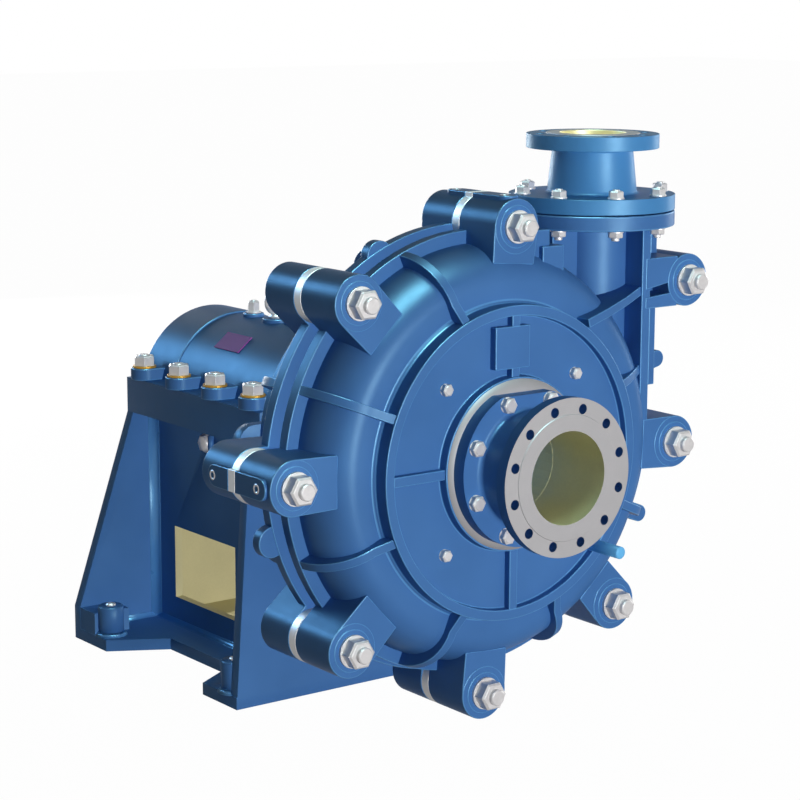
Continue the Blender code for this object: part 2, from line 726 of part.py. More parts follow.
def volute_liner():
    def at(half):
        return MID_Y + half
    wall = LINER_WALL
    span_y = SHELF_HALF - FLANGE_HALF - CASING_WALL - SEAT
    corner_r = SHELF_R - CASING_WALL - SEAT
    outer_r = FLANGE_FOOT_R - CASING_WALL - SEAT * 2

    def bend(side, inset):
        turns = [math.pi / 2 * i / ARC_STEPS for i in range(ARC_STEPS + 1)]
        return [(at(side * (FLANGE_HALF + (span_y - inset) * math.cos(turn))),
                 corner_r - inset / 2 + (outer_r - corner_r - inset / 2) * math.sin(turn))
                for turn in turns]
    edge = FLANGE_HALF + span_y
    body = lathe([
        (at(-edge), LINER_LIP_R), *bend(-1, 0), *reversed(bend(1, 0)), (at(edge), LINER_LIP_R),
        (at(edge - wall), LINER_LIP_R), *bend(1, wall), *reversed(bend(-1, wall)),
        (at(-edge + wall), LINER_LIP_R),
    ])
    pipe = upright(rod(PIPE_R, LINER_LIP_R / 2, LOWER_PLATE_TOP - SEAT, STEPS_ROUND))
    join(body, move(pipe, x=DISCHARGE_X, y=MID_Y))
    cut(body, lathe(inner_channel(at, edge, wall, bend)))
    plate = upright(rod(BASE_FLANGE_R, LOWER_PLATE_LOW, LOWER_PLATE_TOP, STEPS_ROUND))
    join(body, move(plate, x=DISCHARGE_X, y=MID_Y))
    bore = upright(rod(DISCHARGE_BORE_R, 0, LOWER_PLATE_TOP + OVERRUN, STEPS_ROUND))
    return cut(body, move(bore, x=DISCHARGE_X, y=MID_Y))


def inner_channel(at, edge, wall, bend):
    """The room inside the liner, which also trims the pipe's foot."""
    return [(at(-edge - OVERRUN), 0), (at(-edge - OVERRUN), LINER_LIP_R), (at(-edge + wall), LINER_LIP_R),
            *bend(-1, wall), *reversed(bend(1, wall)), (at(edge - wall), LINER_LIP_R),
            (at(edge + OVERRUN), LINER_LIP_R), (at(edge + OVERRUN), 0)]


def throat_bush():
    """The wear plate in front of the impeller, with the collar that the nozzle seats on."""
    back = MID_Y - IMPELLER_HALF - RUN
    front = MID_Y - DISC_HALF + DISC_WALL + SEAT
    collar = SUCTION_LENGTH + SEAT
    rim = LINER_LIP_R - SEAT * 3
    return lathe([
        (collar, SUCTION_BORE_R), (collar, THROAT_OUTER_R), (front, THROAT_OUTER_R), (front, rim),
        (back, rim), (back, SUCTION_BORE_R),
    ])


def back_plate():
    """The wear plate behind the impeller."""
    front = IMPELLER_BACK_Y + RUN
    back = REAR_BACK_Y - DISC_WALL - SEAT
    rim = LINER_LIP_R - SEAT * 3
    hub = REAR_OPENING_R + BACK_PLATE_T
    return lathe([
        (front, BACK_PLATE_BORE_R), (front, rim), (back, rim), (back, hub),
        (front + BACK_PLATE_T, hub), (front + BACK_PLATE_T, BACK_PLATE_BORE_R),
    ])


def impeller():
    front = MID_Y - IMPELLER_HALF
    back = IMPELLER_BACK_Y
    body = lathe([(back - SHROUD_T, 0), (back - SHROUD_T, IMPELLER_R), (back, IMPELLER_R), (back, 0)])
    join(body, lathe([(back - HUB_NOSE_LENGTH, 0), (back - HUB_NOSE_LENGTH, HUB_NOSE_R),
                      (back - HUB_SHOULDER_LENGTH, HUB_SHOULDER_R), (back - SHROUD_T, IMPELLER_HUB_R),
                      (back + OVERRUN, IMPELLER_HUB_R), (back + OVERRUN, 0)], STEPS_SMALL))
    shroud = lathe([(front, IMPELLER_EYE_R), (front, IMPELLER_R), (front + SHROUD_T, IMPELLER_R),
                    (front + SHROUD_T, IMPELLER_EYE_R)])
    count = ARC_STEPS
    for vane in range(VANES):
        sweep = [(IMPELLER_EYE_R + (IMPELLER_R - SHROUD_T / 4 - IMPELLER_EYE_R) * i / count,
                  360.0 * vane / VANES - VANE_SWEEP * i / count) for i in range(count + 1)]
        outline = [polar(r + VANE_T / 4, a) for r, a in sweep[:1]]
        outline += [polar(r, a) for r, a in sweep[1:]]
        outline += [polar(r, a - math.degrees(VANE_T / r)) for r, a in reversed(sweep)]
        join(shroud, prism(outline, front + SHROUD_T / 2, back - SHROUD_T / 2))
    join(body, shroud)
    return cut(body, rod(SHAFT_NOSE_R + SEAT, back - SHAFT_NOSE_IN + SHROUD_T, back + BACK_PLATE_T))


def seal_housing():
    """The expeller's chamber and the stuffing box in one casting."""
    front = SEAL_FACE_Y - DISC_WALL
    face = SEAL_FACE_Y
    chamber_end = face + EXPELLER_T
    flange_end = face + SEAL_FLANGE_T
    return lathe([
        (front, EXPELLER_CHAMBER_R), (front, REAR_OPENING_R - SEAT), (face, REAR_OPENING_R - SEAT),
        (face, SEAL_FLANGE_R), (flange_end, SEAL_FLANGE_R), (flange_end, STUFFING_R),
        (flange_end + STUFFING_LENGTH, STUFFING_R), (flange_end + STUFFING_LENGTH, SLEEVE_R + RUN),
        (chamber_end, SLEEVE_R + RUN), (chamber_end, EXPELLER_CHAMBER_R),
    ], STEPS_ROUND)


def expeller():
    face = SEAL_FACE_Y + EXPELLER_T - RUN
    root = face - EXPELLER_VANE_T
    front = root - EXPELLER_T
    body = lathe([(front, 0), (front, EXPELLER_R), (root, EXPELLER_R), (root, 0)], STEPS_ROUND)
    join(body, rod(SLEEVE_R + RUN * 8, front - SHROUD_T, face - RUN))
    for vane in range(EXPELLER_VANES):
        bar = block((SHAFT_BEARING_R, EXPELLER_R - RUN), (root - RUN, face), (-VANE_T / 4, VANE_T / 4))
        bar.data.transform(Matrix.Rotation(2 * math.pi * vane / EXPELLER_VANES, 4, "Y"))
        join(body, bar)
    return cut(body, rod(SHAFT_SEAL_R + SEAT, front - SHROUD_T - OVERRUN, face + OVERRUN))


def shaft_sleeve():
    start = SEAL_FACE_Y + EXPELLER_T - RUN + SEAT
    end = SEAL_FACE_Y + SEAL_FLANGE_T + STUFFING_LENGTH + GLAND_T + RUN
    return lathe([(start, SHAFT_SEAL_R + SEAT), (start, SLEEVE_R), (end, SLEEVE_R),
                  (end, SHAFT_SEAL_R + SEAT)], STEPS_SMALL)


def gland():
    start = SEAL_FACE_Y + SEAL_FLANGE_T + STUFFING_LENGTH + SEAT
    end = start + GLAND_T
    bore = (SLEEVE_R + RUN) / math.cos(math.pi / STEPS_SMALL)   # its flats clear the sleeve as it turns
    return lathe([(start, bore), (start, GLAND_R), (end, GLAND_R), (end, bore)], STEPS_SMALL)


def slinger():
    start = SEAL_FACE_Y + SEAL_FLANGE_T + STUFFING_LENGTH + GLAND_T + RUN + SEAT
    return lathe([(start, SHAFT_SEAL_R + SEAT), (start, SLINGER_R), (start + SLINGER_T, SLINGER_R),
                  (start + SLINGER_T, SHAFT_SEAL_R + SEAT)], STEPS_SMALL)


def shaft():
    nose = IMPELLER_BACK_Y - SHAFT_NOSE_IN + SHROUD_T + SEAT
    shoulder = IMPELLER_BACK_Y + BACK_PLATE_T / 2
    collar = HOUSING_Y - COVER_T + RUN
    middle_start = FRONT_BEARING_Y + BEARING_W + SEAT
    middle_end = REAR_BEARING_Y - SEAT
    end_start = PEDESTAL_END_Y + COVER_T + COVER_DOME_T + RUN
    return lathe([
        (nose, 0), (nose, SHAFT_NOSE_R), (shoulder, SHAFT_NOSE_R), (shoulder, SHAFT_SEAL_R),
        (collar, SHAFT_SEAL_R), (collar, SHAFT_BEARING_R), (middle_start, SHAFT_BEARING_R),
        (middle_start, SHAFT_MIDDLE_R), (middle_end, SHAFT_MIDDLE_R), (middle_end, SHAFT_BEARING_R),
        (end_start, SHAFT_BEARING_R), (end_start, SHAFT_END_R), (SHAFT_END_Y, SHAFT_END_R),
        (SHAFT_END_Y, 0),
    ], STEPS_SMALL)


def key_slot_box(grow):
    low = SHAFT_END_R - KEY_H / 2
    start = SHAFT_END_Y - KEY_LENGTH - KEY_W
    return block((-KEY_W / 2 - grow, KEY_W / 2 + grow), (start - grow, start + KEY_LENGTH + grow),
                 (low - grow, low + KEY_H + grow))


def bearing_ring(start, inner, outer, steps):
    return lathe([(start, inner), (start, outer), (start + BEARING_W, outer),
                  (start + BEARING_W, inner)], steps)


def roller_cage(start):
    """The rollers, held by their cage ring."""
    pitch_r = (INNER_RING_R + OUTER_RING_IN_R) / 2
    roller_r = (OUTER_RING_IN_R * math.cos(math.pi / STEPS_ROUND) - INNER_RING_R) / 2 - SEAT * 2
    body = lathe([(start + RUN, CAGE_IN_R), (start + RUN, CAGE_OUT_R),
                  (start + BEARING_W - RUN, CAGE_OUT_R), (start + BEARING_W - RUN, CAGE_IN_R)], STEPS_SMALL)
    for x, z in ring_of(ROLLERS, pitch_r, 0.0):
        join(body, move(rod(roller_r, start + RUN * 2, start + BEARING_W - RUN * 2, 8), x=x, z=z))
    return body


def bearing_cover(face, away, dome):
    """A cover on the housing's face: away is 1 for the drive end and -1 for the pump end."""
    bore = SHAFT_BEARING_R + RUN
    near = face + away * SEAT
    crown = [(near + away * (COVER_T + dome), COVER_NECK_R)] if dome else []
    return lathe([
        (near - away * COVER_SPIGOT, bore), (near - away * COVER_SPIGOT, BEARING_R - SEAT),
        (near, BEARING_R - SEAT), (near, COVER_R), (near + away * COVER_T, COVER_R), *crown,
        (near + away * (COVER_T + dome), bore),
    ], STEPS_ROUND)


def housing_bore():
    """The bearing seats and the oil chamber as one cutter, straight-sided above the shaft's axis."""
    start, end = HOUSING_Y - OVERRUN, PEDESTAL_END_Y + OVERRUN
    seat_end = HOUSING_Y + FRONT_BEARING_IN + SEAT_W
    seat_start = PEDESTAL_END_Y - FRONT_BEARING_IN - SEAT_W
    return lathe([(start, 0), (start, BEARING_R), (seat_end, BEARING_R), (seat_end, CHAMBER_R),
                  (seat_start, CHAMBER_R), (seat_start, BEARING_R), (end, BEARING_R), (end, 0)],
                 STEPS_ROUND)


def foot_plan():
    """Half of the foot flange's outline seen from above, on the right side."""
    rear, front = PEDESTAL_END_Y, PEDESTAL_Y
    return [
        (RAIL_IN_X, front), (FRONT_FOOT_X, front), (FRONT_FOOT_X, front + FRONT_FOOT_DEPTH),
        (RAIL_X, front + FRONT_FOOT_DEPTH + REAR_FOOT_SLANT),
        (RAIL_X, rear - REAR_FOOT_DEPTH - REAR_FOOT_SLANT), (REAR_FOOT_X, rear - REAR_FOOT_DEPTH),
        (REAR_FOOT_X, rear), (RAIL_IN_X, rear),
    ]


def mirrored(outline, side):
    return [(side * a, b) for a, b in outline]


def pedestal():
    rear, front = PEDESTAL_END_Y, PEDESTAL_Y
    low_turn = -math.degrees(math.atan2(-FRONT_WAIST_Z, FRONT_WAIST_X))
    round_part = [polar(FRONT_PLATE_R, low_turn + (FRONT_TOP_TURN - low_turn) * i / FRONT_STEPS)
                  for i in range(FRONT_STEPS + 1)]
    right_edge = [(FRONT_FOOT_X, FLOOR_Z), *round_part, (FRONT_PLATE_R - PLATE_T, SPLIT_Z + SEAT + OVERRUN)]
    left_edge = [(-x, z) for x, z in reversed(right_edge)]
    body = prism(right_edge + left_edge, front, front + PLATE_T)
    knee = [(REAR_FOOT_X, FLOOR_Z), (REAR_FOOT_X, REAR_KNEE_Z), (BLOCK_X, -BLOCK_DROP), (BLOCK_X, SPLIT_Z)]
    join(body, prism(knee + [(-x, z) for x, z in reversed(knee)], rear - PLATE_T, rear))
    join(body, block((-BLOCK_X, BLOCK_X), (rear - BLOCK_LENGTH, rear - PLATE_T / 2), (-BLOCK_DROP, SPLIT_Z)))
    inner = SIDE_X - SIDE_T / 2
    join(body, block((-inner, inner), (HOUSING_Y, rear - PLATE_T / 2), (-TROUGH_DROP, 0)))
    foot_mid = FLOOR_Z + FOOT_T / 2
    for side in (-1, 1):
        join(body, prism(mirrored(foot_plan(), side), FLOOR_Z, FLOOR_Z + FOOT_T, "Z"))
        edges = sorted((side * SIDE_X, side * (SIDE_X - SIDE_T)))
        join(body, block(edges, (front + PLATE_T / 2, rear - PLATE_T / 2), (foot_mid, -BLOCK_DROP / 2)))
        shelf = sorted((side * FOOT_BLOCK_X, side * (REAR_FOOT_X - SEAT)))
        join(body, block(shelf, (rear - FOOT_BLOCK_DEPTH, rear - PLATE_T / 2),
                         (foot_mid, FLOOR_Z + FOOT_BLOCK_TOP)))
    for side in (-1, 1):
        for y in (rear - POST_REAR_IN, front + POST_FRONT_IN):
            post = upright(rod(POST_R, foot_mid, FLOOR_Z + POST_HEIGHT, STEPS_ROD))
            join(body, move(post, x=side * POST_X, y=y))
            hole = upright(rod(ANCHOR_HOLE_R, FLOOR_Z - OVERRUN, FLOOR_Z + POST_HEIGHT + OVERRUN, STEPS_ROD))
            cut(body, move(hole, x=side * POST_X, y=y))
    window_start = rear - WINDOW_FROM - WINDOW_LENGTH
    cut(body, block((-RAIL_X, RAIL_X), (window_start, window_start + WINDOW_LENGTH), WINDOW_Z))
    chamber = (HOUSING_Y + FRONT_BEARING_IN + SEAT_W, rear - FRONT_BEARING_IN - SEAT_W)
    cut(body, housing_bore(),
        block((-BEARING_R, BEARING_R), (HOUSING_Y - OVERRUN, rear + OVERRUN), (0, SPLIT_Z + OVERRUN)),
        block((-CHAMBER_R, CHAMBER_R), chamber, (0, SPLIT_Z + OVERRUN)),
        rod(FRONT_PLATE_HOLE_R, front - OVERRUN, HOUSING_Y, STEPS_ROUND),
        block((-FRONT_PLATE_HOLE_R, FRONT_PLATE_HOLE_R), (front - OVERRUN, HOUSING_Y), (0, CAP_R)))
    for x, y in lug_places():
        hole = upright(rod(CAP_BOLT_HOLE_R, SPLIT_Z - CAP_BOLT_GRIP, SPLIT_Z + OVERRUN, STEPS_ROD))
        cut(body, move(hole, x=x, y=y))
    level = sideways(rod(LEVEL_R / 2, SIDE_X - SIDE_T, SIDE_X + OVERRUN, STEPS_ROD))
    return cut(body, move(level, y=rear - LEVEL_IN, z=-LEVEL_DROP))


def lug_places():
    first = PEDESTAL_END_Y - LUG_REAR_IN
    return [(side * LUG_X, first - LUG_PITCH * row) for side in (-1, 1) for row in range(LUG_ROWS)]


def bearing_cap():
    start, end = HOUSING_Y, PEDESTAL_END_Y
    rim = end - CAP_RIM_W
    body = lathe([(start, 0), (start, CAP_R), (rim, CAP_R), (rim, CAP_RIM_R), (end, CAP_RIM_R), (end, 0)])
    base = SPLIT_Z + SEAT
    for x, y in lug_places():
        side = math.copysign(1.0, x)
        reach = sorted((side * CHAMBER_R, x))
        join(body, block(reach, (y - LUG_R, y + LUG_R), (base - SEAT, SPLIT_Z + LUG_T)))
        join(body, move(upright(rod(LUG_R, base - SEAT, SPLIT_Z + LUG_T)), x=x, y=y))
    for inset, radius in ((FILLER_IN, FILLER_BOSS_R), (EYE_IN, EYE_BOSS_R), (VENT_IN, VENT_BOSS_R)):
        join(body, move(upright(rod(radius, CHAMBER_R, CAP_R + TOP_BOSS_RISE)), y=end - inset))
    cut(body, housing_bore(),
        block((-LUG_X - CAP_R, LUG_X + CAP_R), (start - OVERRUN, end + OVERRUN), (-CAP_R - OVERRUN, base)))
    for x, y in lug_places():
        hole = upright(rod(CAP_BOLT_HOLE_R, SPLIT_Z - OVERRUN, SPLIT_Z + LUG_T + OVERRUN, STEPS_ROD))
        cut(body, move(hole, x=x, y=y))
    for inset, radius in ((FILLER_IN, FILLER_AF / 3), (EYE_IN, EYE_NECK_R), (VENT_IN, VENT_R / 2)):
        drill = upright(rod(radius + SEAT, CHAMBER_R - OVERRUN, CAP_R + TOP_BOSS_RISE + OVERRUN, STEPS_ROD))
        cut(body, move(drill, y=end - inset))
    return body


def cap_bolt():
    """A hex bolt with its washer, standing on a lug of the cap."""
    seat = SPLIT_Z + LUG_T + SEAT
    body = upright(rod(CAP_WASHER_R, seat, seat + CAP_WASHER_T, STEPS_ROD))
    join(body, upright(hexagon(CAP_BOLT_AF, seat + CAP_WASHER_T - SEAT, seat + CAP_WASHER_T + CAP_BOLT_HEAD)))
    return join(body, upright(rod(CAP_BOLT_R, SPLIT_Z - CAP_BOLT_GRIP + RUN, seat + CAP_WASHER_T, STEPS_ROD)))


def casing_stud():
    """A stud with a nut and a washer at each end, about its own axis."""
    tip = BOSS_HALF + STUD_OUT
    body = rod(STUD_R, MID_Y - tip, MID_Y + tip, STEPS_ROD)
    for side in (-1, 1):
        seat = MID_Y + side * (BOSS_HALF + SEAT)
        washer_end = seat + side * WASHER_T
        nut_end = washer_end + side * NUT_H
        join(body, rod(WASHER_R, *sorted((seat, washer_end)), STEPS_SMALL))
        join(body, hexagon(NUT_AF, *sorted((washer_end - side * SEAT, nut_end))))
    return body


def casing_shim():
    """The spacer between the two bosses of one stud."""
    half = JOINT_GAP / 2 - BOSS_PAD - SEAT
    return lathe([(MID_Y - half, STUD_R + RUN), (MID_Y - half, SHIM_R), (MID_Y + half, SHIM_R),
                  (MID_Y + half, STUD_R + RUN)], STEPS_SMALL // 2 + 4)


def discharge_spool():
    top, low = DISCHARGE_TOP, BASE_FLANGE_TOP - BASE_FLANGE_T
    outline = [
        (low, DISCHARGE_BORE_R), (low, BASE_FLANGE_R),
        (low + BASE_FLANGE_T, BASE_FLANGE_R), (low + BASE_FLANGE_T, DISCHARGE_NECK_LOW_R + NECK_FILLET),
        (low + BASE_FLANGE_T + NECK_FILLET, DISCHARGE_NECK_LOW_R),
        (top - DISCHARGE_FLANGE_T, DISCHARGE_NECK_TOP_R), (top - DISCHARGE_FLANGE_T, DISCHARGE_FLANGE_R),
        (top - DISCHARGE_FACE_T, DISCHARGE_FLANGE_R), (top - DISCHARGE_FACE_T, DISCHARGE_FACE_R),
        (top, DISCHARGE_FACE_R), (top, DISCHARGE_BORE_R),
    ]
    body = upright(lathe(outline))
    for x, y in ring_of(DISCHARGE_HOLES, DISCHARGE_PCD_R):
        hole = upright(rod(DISCHARGE_HOLE_R, top - DISCHARGE_FLANGE_T - OVERRUN, top + OVERRUN, 8))
        cut(body, move(hole, x=x, y=y))
    return move(body, x=DISCHARGE_X, y=MID_Y)


def discharge_gasket():
    top = BASE_FLANGE_TOP - BASE_FLANGE_T - SEAT
    ring = lathe([(top - GASKET_T, DISCHARGE_BORE_R), (top - GASKET_T, GASKET_R), (top, GASKET_R),
                  (top, DISCHARGE_BORE_R)], STEPS_ROUND)
    return move(upright(ring), x=DISCHARGE_X, y=MID_Y)


def eye_bolt():
    base = CAP_R + TOP_BOSS_RISE + SEAT
    body = upright(rod(EYE_COLLAR_R, base, base + EYE_COLLAR_T))
    neck_top = base + EYE_COLLAR_T + EYE_WIRE_R / 3
    join(body, upright(rod(EYE_NECK_R - SEAT, base - PLUG_DEPTH, neck_top, STEPS_ROD)))
    bm = bmesh.new()
    section = [bm.verts.new((EYE_RING_R + a, 0, b)) for a, b in ring_of(8, EYE_WIRE_R)]
    edges = [bm.edges.new((a, b)) for a, b in zip(section, section[1:] + section[:1])]
    bmesh.ops.spin(bm, geom=section + edges, axis=(0, 0, 1), cent=(0, 0, 0), angle=2 * math.pi,
                   steps=STEPS_SMALL, use_merge=True)
    bmesh.ops.remove_doubles(bm, verts=bm.verts, dist=SEAT / 10)
    ring = upright(solid(bm))
    join(body, move(ring, z=base + EYE_COLLAR_T + EYE_RING_R + EYE_WIRE_R / 2))
    return move(body, y=PEDESTAL_END_Y - EYE_IN)


def filler_plug():
    base = CAP_R + TOP_BOSS_RISE + SEAT
    body = upright(hexagon(FILLER_AF, base, base + FILLER_H))
    join(body, upright(rod(FILLER_AF / 3, base - PLUG_DEPTH, base + FILLER_H / 2, STEPS_ROD)))
    return move(body, y=PEDESTAL_END_Y - FILLER_IN)


def vent_plug():
    base = CAP_R + TOP_BOSS_RISE + SEAT
    body = upright(rod(VENT_R, base, base + VENT_H, STEPS_ROD))
    join(body, upright(rod(VENT_R / 2, base - PLUG_DEPTH, base + VENT_H / 2, STEPS_ROD)))
    return move(body, y=PEDESTAL_END_Y - VENT_IN)


def level_plug():
    face = SIDE_X + SEAT
    body = sideways(hexagon(2 * LEVEL_R, face, face + LEVEL_T))
    join(body, sideways(rod(LEVEL_R / 2 - SEAT, face - SIDE_T, face + LEVEL_T / 2, STEPS_ROD)))
    return move(body, y=PEDESTAL_END_Y - LEVEL_IN, z=-LEVEL_DROP)


def drain_rod():
    end = MID_Y - DISC_HALF - SEAT
    return move(rod(DRAIN_R, end - DRAIN_LENGTH, end, STEPS_ROD), x=DRAIN_X, z=DRAIN_Z)


def name_plate():
    """A bare plate, bent to the cap."""
    first, last = PLATE_ANGLES
    count = ARC_STEPS - 1
    inner = CAP_R / math.cos(math.radians(last - first) / (2 * count)) + SEAT
    turns = [180.0 - first - (last - first) * i / count for i in range(count + 1)]
    outline = [polar(inner, turn) for turn in turns]
    outline += [polar(inner + PLATE_THICK, turn) for turn in reversed(turns)]
    start = PEDESTAL_END_Y - PLATE_IN - PLATE_LENGTH
    return prism(outline, start, start + PLATE_LENGTH)


def stand_on_ground(root):
    """Moves the root so that the pump's box stands on Z = 0, centred about the origin."""
    bpy.context.view_layer.update()
    corners = [item.matrix_world @ vert.co for item in bpy.data.objects if item.type == "MESH"
               for vert in item.data.vertices]
    low = [min(corner[axis] for corner in corners) for axis in range(3)]
    high = [max(corner[axis] for corner in corners) for axis in range(3)]
    root.location = (-(low[0] + high[0]) / 2, -(low[1] + high[1]) / 2, -low[2])
    bpy.context.view_layer.update()
    return root.location


def build():
    clear_scene()
    root = empty("pump")
    rotor = empty("rotor_axis", root, IMPELLER_BACK_Y)
    front_cage = empty("front_cage_axis", root, FRONT_BEARING_Y)
    rear_cage = empty("rear_cage_axis", root, REAR_BEARING_Y)

    def fixed(item, name, slot):
        return finish(item, name, slot, root)

    def turning(item, name, slot, carrier=rotor):
        item.data.transform(Matrix.Translation((0, -carrier.location.y, 0)))
        return finish(item, name, slot, carrier)

    fixed(pedestal(), "pedestal", "blue_paint")
    fixed(bearing_cap(), "bearing_cap", "blue_paint")
    fixed(bearing_cover(HOUSING_Y, -1, 0), "front_bearing_cover", "dark_steel")
    fixed(bearing_cover(PEDESTAL_END_Y, 1, COVER_DOME_T), "rear_bearing_cover", "dark_steel")
    bolt = cap_bolt()
    for index, (x, y) in enumerate(lug_places()):
        copy = bpy.data.objects.new("cap_bolt", bolt.data.copy())
        bpy.context.scene.collection.objects.link(copy)
        fixed(move(copy, x=x, y=y), f"cap_bolt_{index + 1}", "bright_fastener")
    bpy.data.objects.remove(bolt)

    fixed(front_casing(), "front_casing", "blue_paint")
    fixed(rear_casing(), "rear_casing", "blue_paint")
    fixed(volute_liner(), "volute_liner", "blue_paint")
    fixed(throat_bush(), "throat_bush", "bare_iron")
    fixed(back_plate(), "back_plate", "wear_iron")
    fixed(suction_nozzle(), "suction_nozzle", "blue_paint")
    fixed(discharge_spool(), "discharge_spool", "blue_paint")
    fixed(discharge_gasket(), "discharge_gasket", "gasket_rubber")
    stud, shim = casing_stud(), casing_shim()
    for name, (x, z) in STUD_PLACES.items():
        for pattern, kind, slot in ((stud, "stud", "bright_fastener"), (shim, "shim", "machined_steel")):
            copy = bpy.data.objects.new(kind, pattern.data.copy())
            bpy.context.scene.collection.objects.link(copy)
            fixed(move(copy, x=x, z=z), f"{kind}_{name}", slot)
    bpy.data.objects.remove(stud)
    bpy.data.objects.remove(shim)

    fixed(seal_housing(), "seal_housing", "blue_paint")
    fixed(gland(), "gland", "machined_steel")
    fixed(eye_bolt(), "eye_bolt", "bright_fastener")
    fixed(filler_plug(), "filler_plug", "bright_fastener")
    fixed(vent_plug(), "vent_plug", "bright_fastener")
    fixed(level_plug(), "level_plug", "bright_fastener")
    fixed(drain_rod(), "drain_rod", "light_blue_paint")
    fixed(name_plate(), "name_plate", "plate_purple")
    for place, start in (("front", FRONT_BEARING_Y), ("rear", REAR_BEARING_Y)):
        fixed(bearing_ring(start, OUTER_RING_IN_R, BEARING_R - SEAT, STEPS_ROUND),
              f"{place}_bearing_outer_ring", "machined_steel")
        turning(bearing_ring(start, SHAFT_BEARING_R + SEAT, INNER_RING_R, STEPS_SMALL),
                f"{place}_bearing_inner_ring", "machined_steel")
        turning(roller_cage(start), f"{place}_bearing_rollers", "brass",
                front_cage if place == "front" else rear_cage)

    turning(impeller(), "impeller", "wear_iron")
    turning(expeller(), "expeller", "wear_iron")
    turning(shaft_sleeve(), "shaft_sleeve", "machined_steel")
    turning(slinger(), "slinger", "machined_steel")
    turning(cut(shaft(), key_slot_box(SEAT)), "shaft", "machined_steel")
    turning(key_slot_box(0), "coupling_key", "dark_steel")
    print("root location", tuple(round(value, 6) for value in stand_on_ground(root)))


build()
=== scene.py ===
"""Looks for a horizontal slurry pump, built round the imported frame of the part.

Pieces are modelled in the pump's own frame: X to the right as seen from the suction, Y along the shaft from
the suction face, Z up from the shaft's axis. Each is then set at its place in the frame's box.
"""
import math

import bmesh
import bpy
from mathutils import Matrix, Vector


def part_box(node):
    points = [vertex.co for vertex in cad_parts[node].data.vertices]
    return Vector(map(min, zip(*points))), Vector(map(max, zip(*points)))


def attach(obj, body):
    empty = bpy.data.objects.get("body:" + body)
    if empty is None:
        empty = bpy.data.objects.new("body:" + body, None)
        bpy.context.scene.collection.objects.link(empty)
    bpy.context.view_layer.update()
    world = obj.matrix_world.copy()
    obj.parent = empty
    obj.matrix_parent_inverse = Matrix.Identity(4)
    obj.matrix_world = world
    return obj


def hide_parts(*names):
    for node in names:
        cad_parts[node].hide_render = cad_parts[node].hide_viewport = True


bl_info = {
    "name": "Slurry Pump",
    "version": (1, 0, 0),
    "blender": (4, 5, 0),
    "location": "View3D > Sidebar > Pump",
    "description": "Builds the painted casing, pedestal, fasteners and stage of a slurry pump",
    "category": "Object",
}

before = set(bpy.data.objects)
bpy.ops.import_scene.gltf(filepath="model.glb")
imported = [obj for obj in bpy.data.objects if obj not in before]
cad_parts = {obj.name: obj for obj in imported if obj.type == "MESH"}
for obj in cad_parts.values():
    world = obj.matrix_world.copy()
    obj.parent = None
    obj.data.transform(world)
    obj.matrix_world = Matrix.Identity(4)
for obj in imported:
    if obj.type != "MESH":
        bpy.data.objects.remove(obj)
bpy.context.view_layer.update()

BASE, ROTOR = "pump_base", "rotor"
SHAFT_LOW, SHAFT_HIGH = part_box("shaft")
ORIGIN = Vector(((SHAFT_LOW.x + SHAFT_HIGH.x) / 2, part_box("suction_nozzle")[0].y,
                 (SHAFT_LOW.z + SHAFT_HIGH.z) / 2))
STUDS = ("top", "upper_left", "left", "lower_left", "bottom", "lower_right", "right", "upper_right")
OVERLAP = 0.002


def low(node):
    return Vector(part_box(node)[0]) - ORIGIN


def high(node):
    return Vector(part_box(node)[1]) - ORIGIN


def middle(node):
    return (low(node) + high(node)) / 2


# Places and sizes that several pieces share.
MID_Y = middle("stud_left").y
STUD_OUT = 0.050
BOSS_HALF = high("stud_left").y - MID_Y - STUD_OUT
FRONT_OUT = 0.016
WEB_ROOT, WAIST, PAD_RISE = 0.424, 0.95, 0.005
SEAT_RISE, SEAT_RADIUS = 0.0015, 0.047
NOZZLE_BASE = 0.033
KEY_GAP = Vector((0.0002, 0.0002, 0.0002))
DISCHARGE = middle("discharge_spool")
PIPE = Vector((DISCHARGE.x, MID_Y, 0))
GASKET_Z, GASKET_GAP = low("discharge_gasket").z, 0.0003
PLATE_THICK, PLATE_RADIUS, PIPE_BORE = 0.034, 0.188, 0.075
BRANCH_TOP = GASKET_Z - PLATE_THICK
SIDE_PLATE, SIDE_FOOT = (0.507, 0.5265), 0.10
FLOOR_Z = low("pedestal").z
PEDESTAL_Y, PEDESTAL_END = low("pedestal").y, high("pedestal").y
WALL_X, REAR_PLATE, FOOT = 0.183, 0.028, 0.028
POST_X, POST_IN, CORNER_X, BLOCK_DROP = 0.368, 0.090, 0.3851, 0.045


def length(name, description, default):
    return bpy.props.FloatProperty(name=name, description=description, default=default, min=0.0,
                                   precision=4, unit="LENGTH")


def share(name, description, default):
    return bpy.props.FloatProperty(name=name, description=description, default=default, min=0.0, max=1.0,
                                   subtype="FACTOR")


def colour(name, description, default):
    return bpy.props.FloatVectorProperty(name=name, description=description, default=default, size=3,
                                         min=0.0, max=1.0, subtype="COLOR")


def number(name, description, default):
    return bpy.props.IntProperty(name=name, description=description, default=default, min=3)


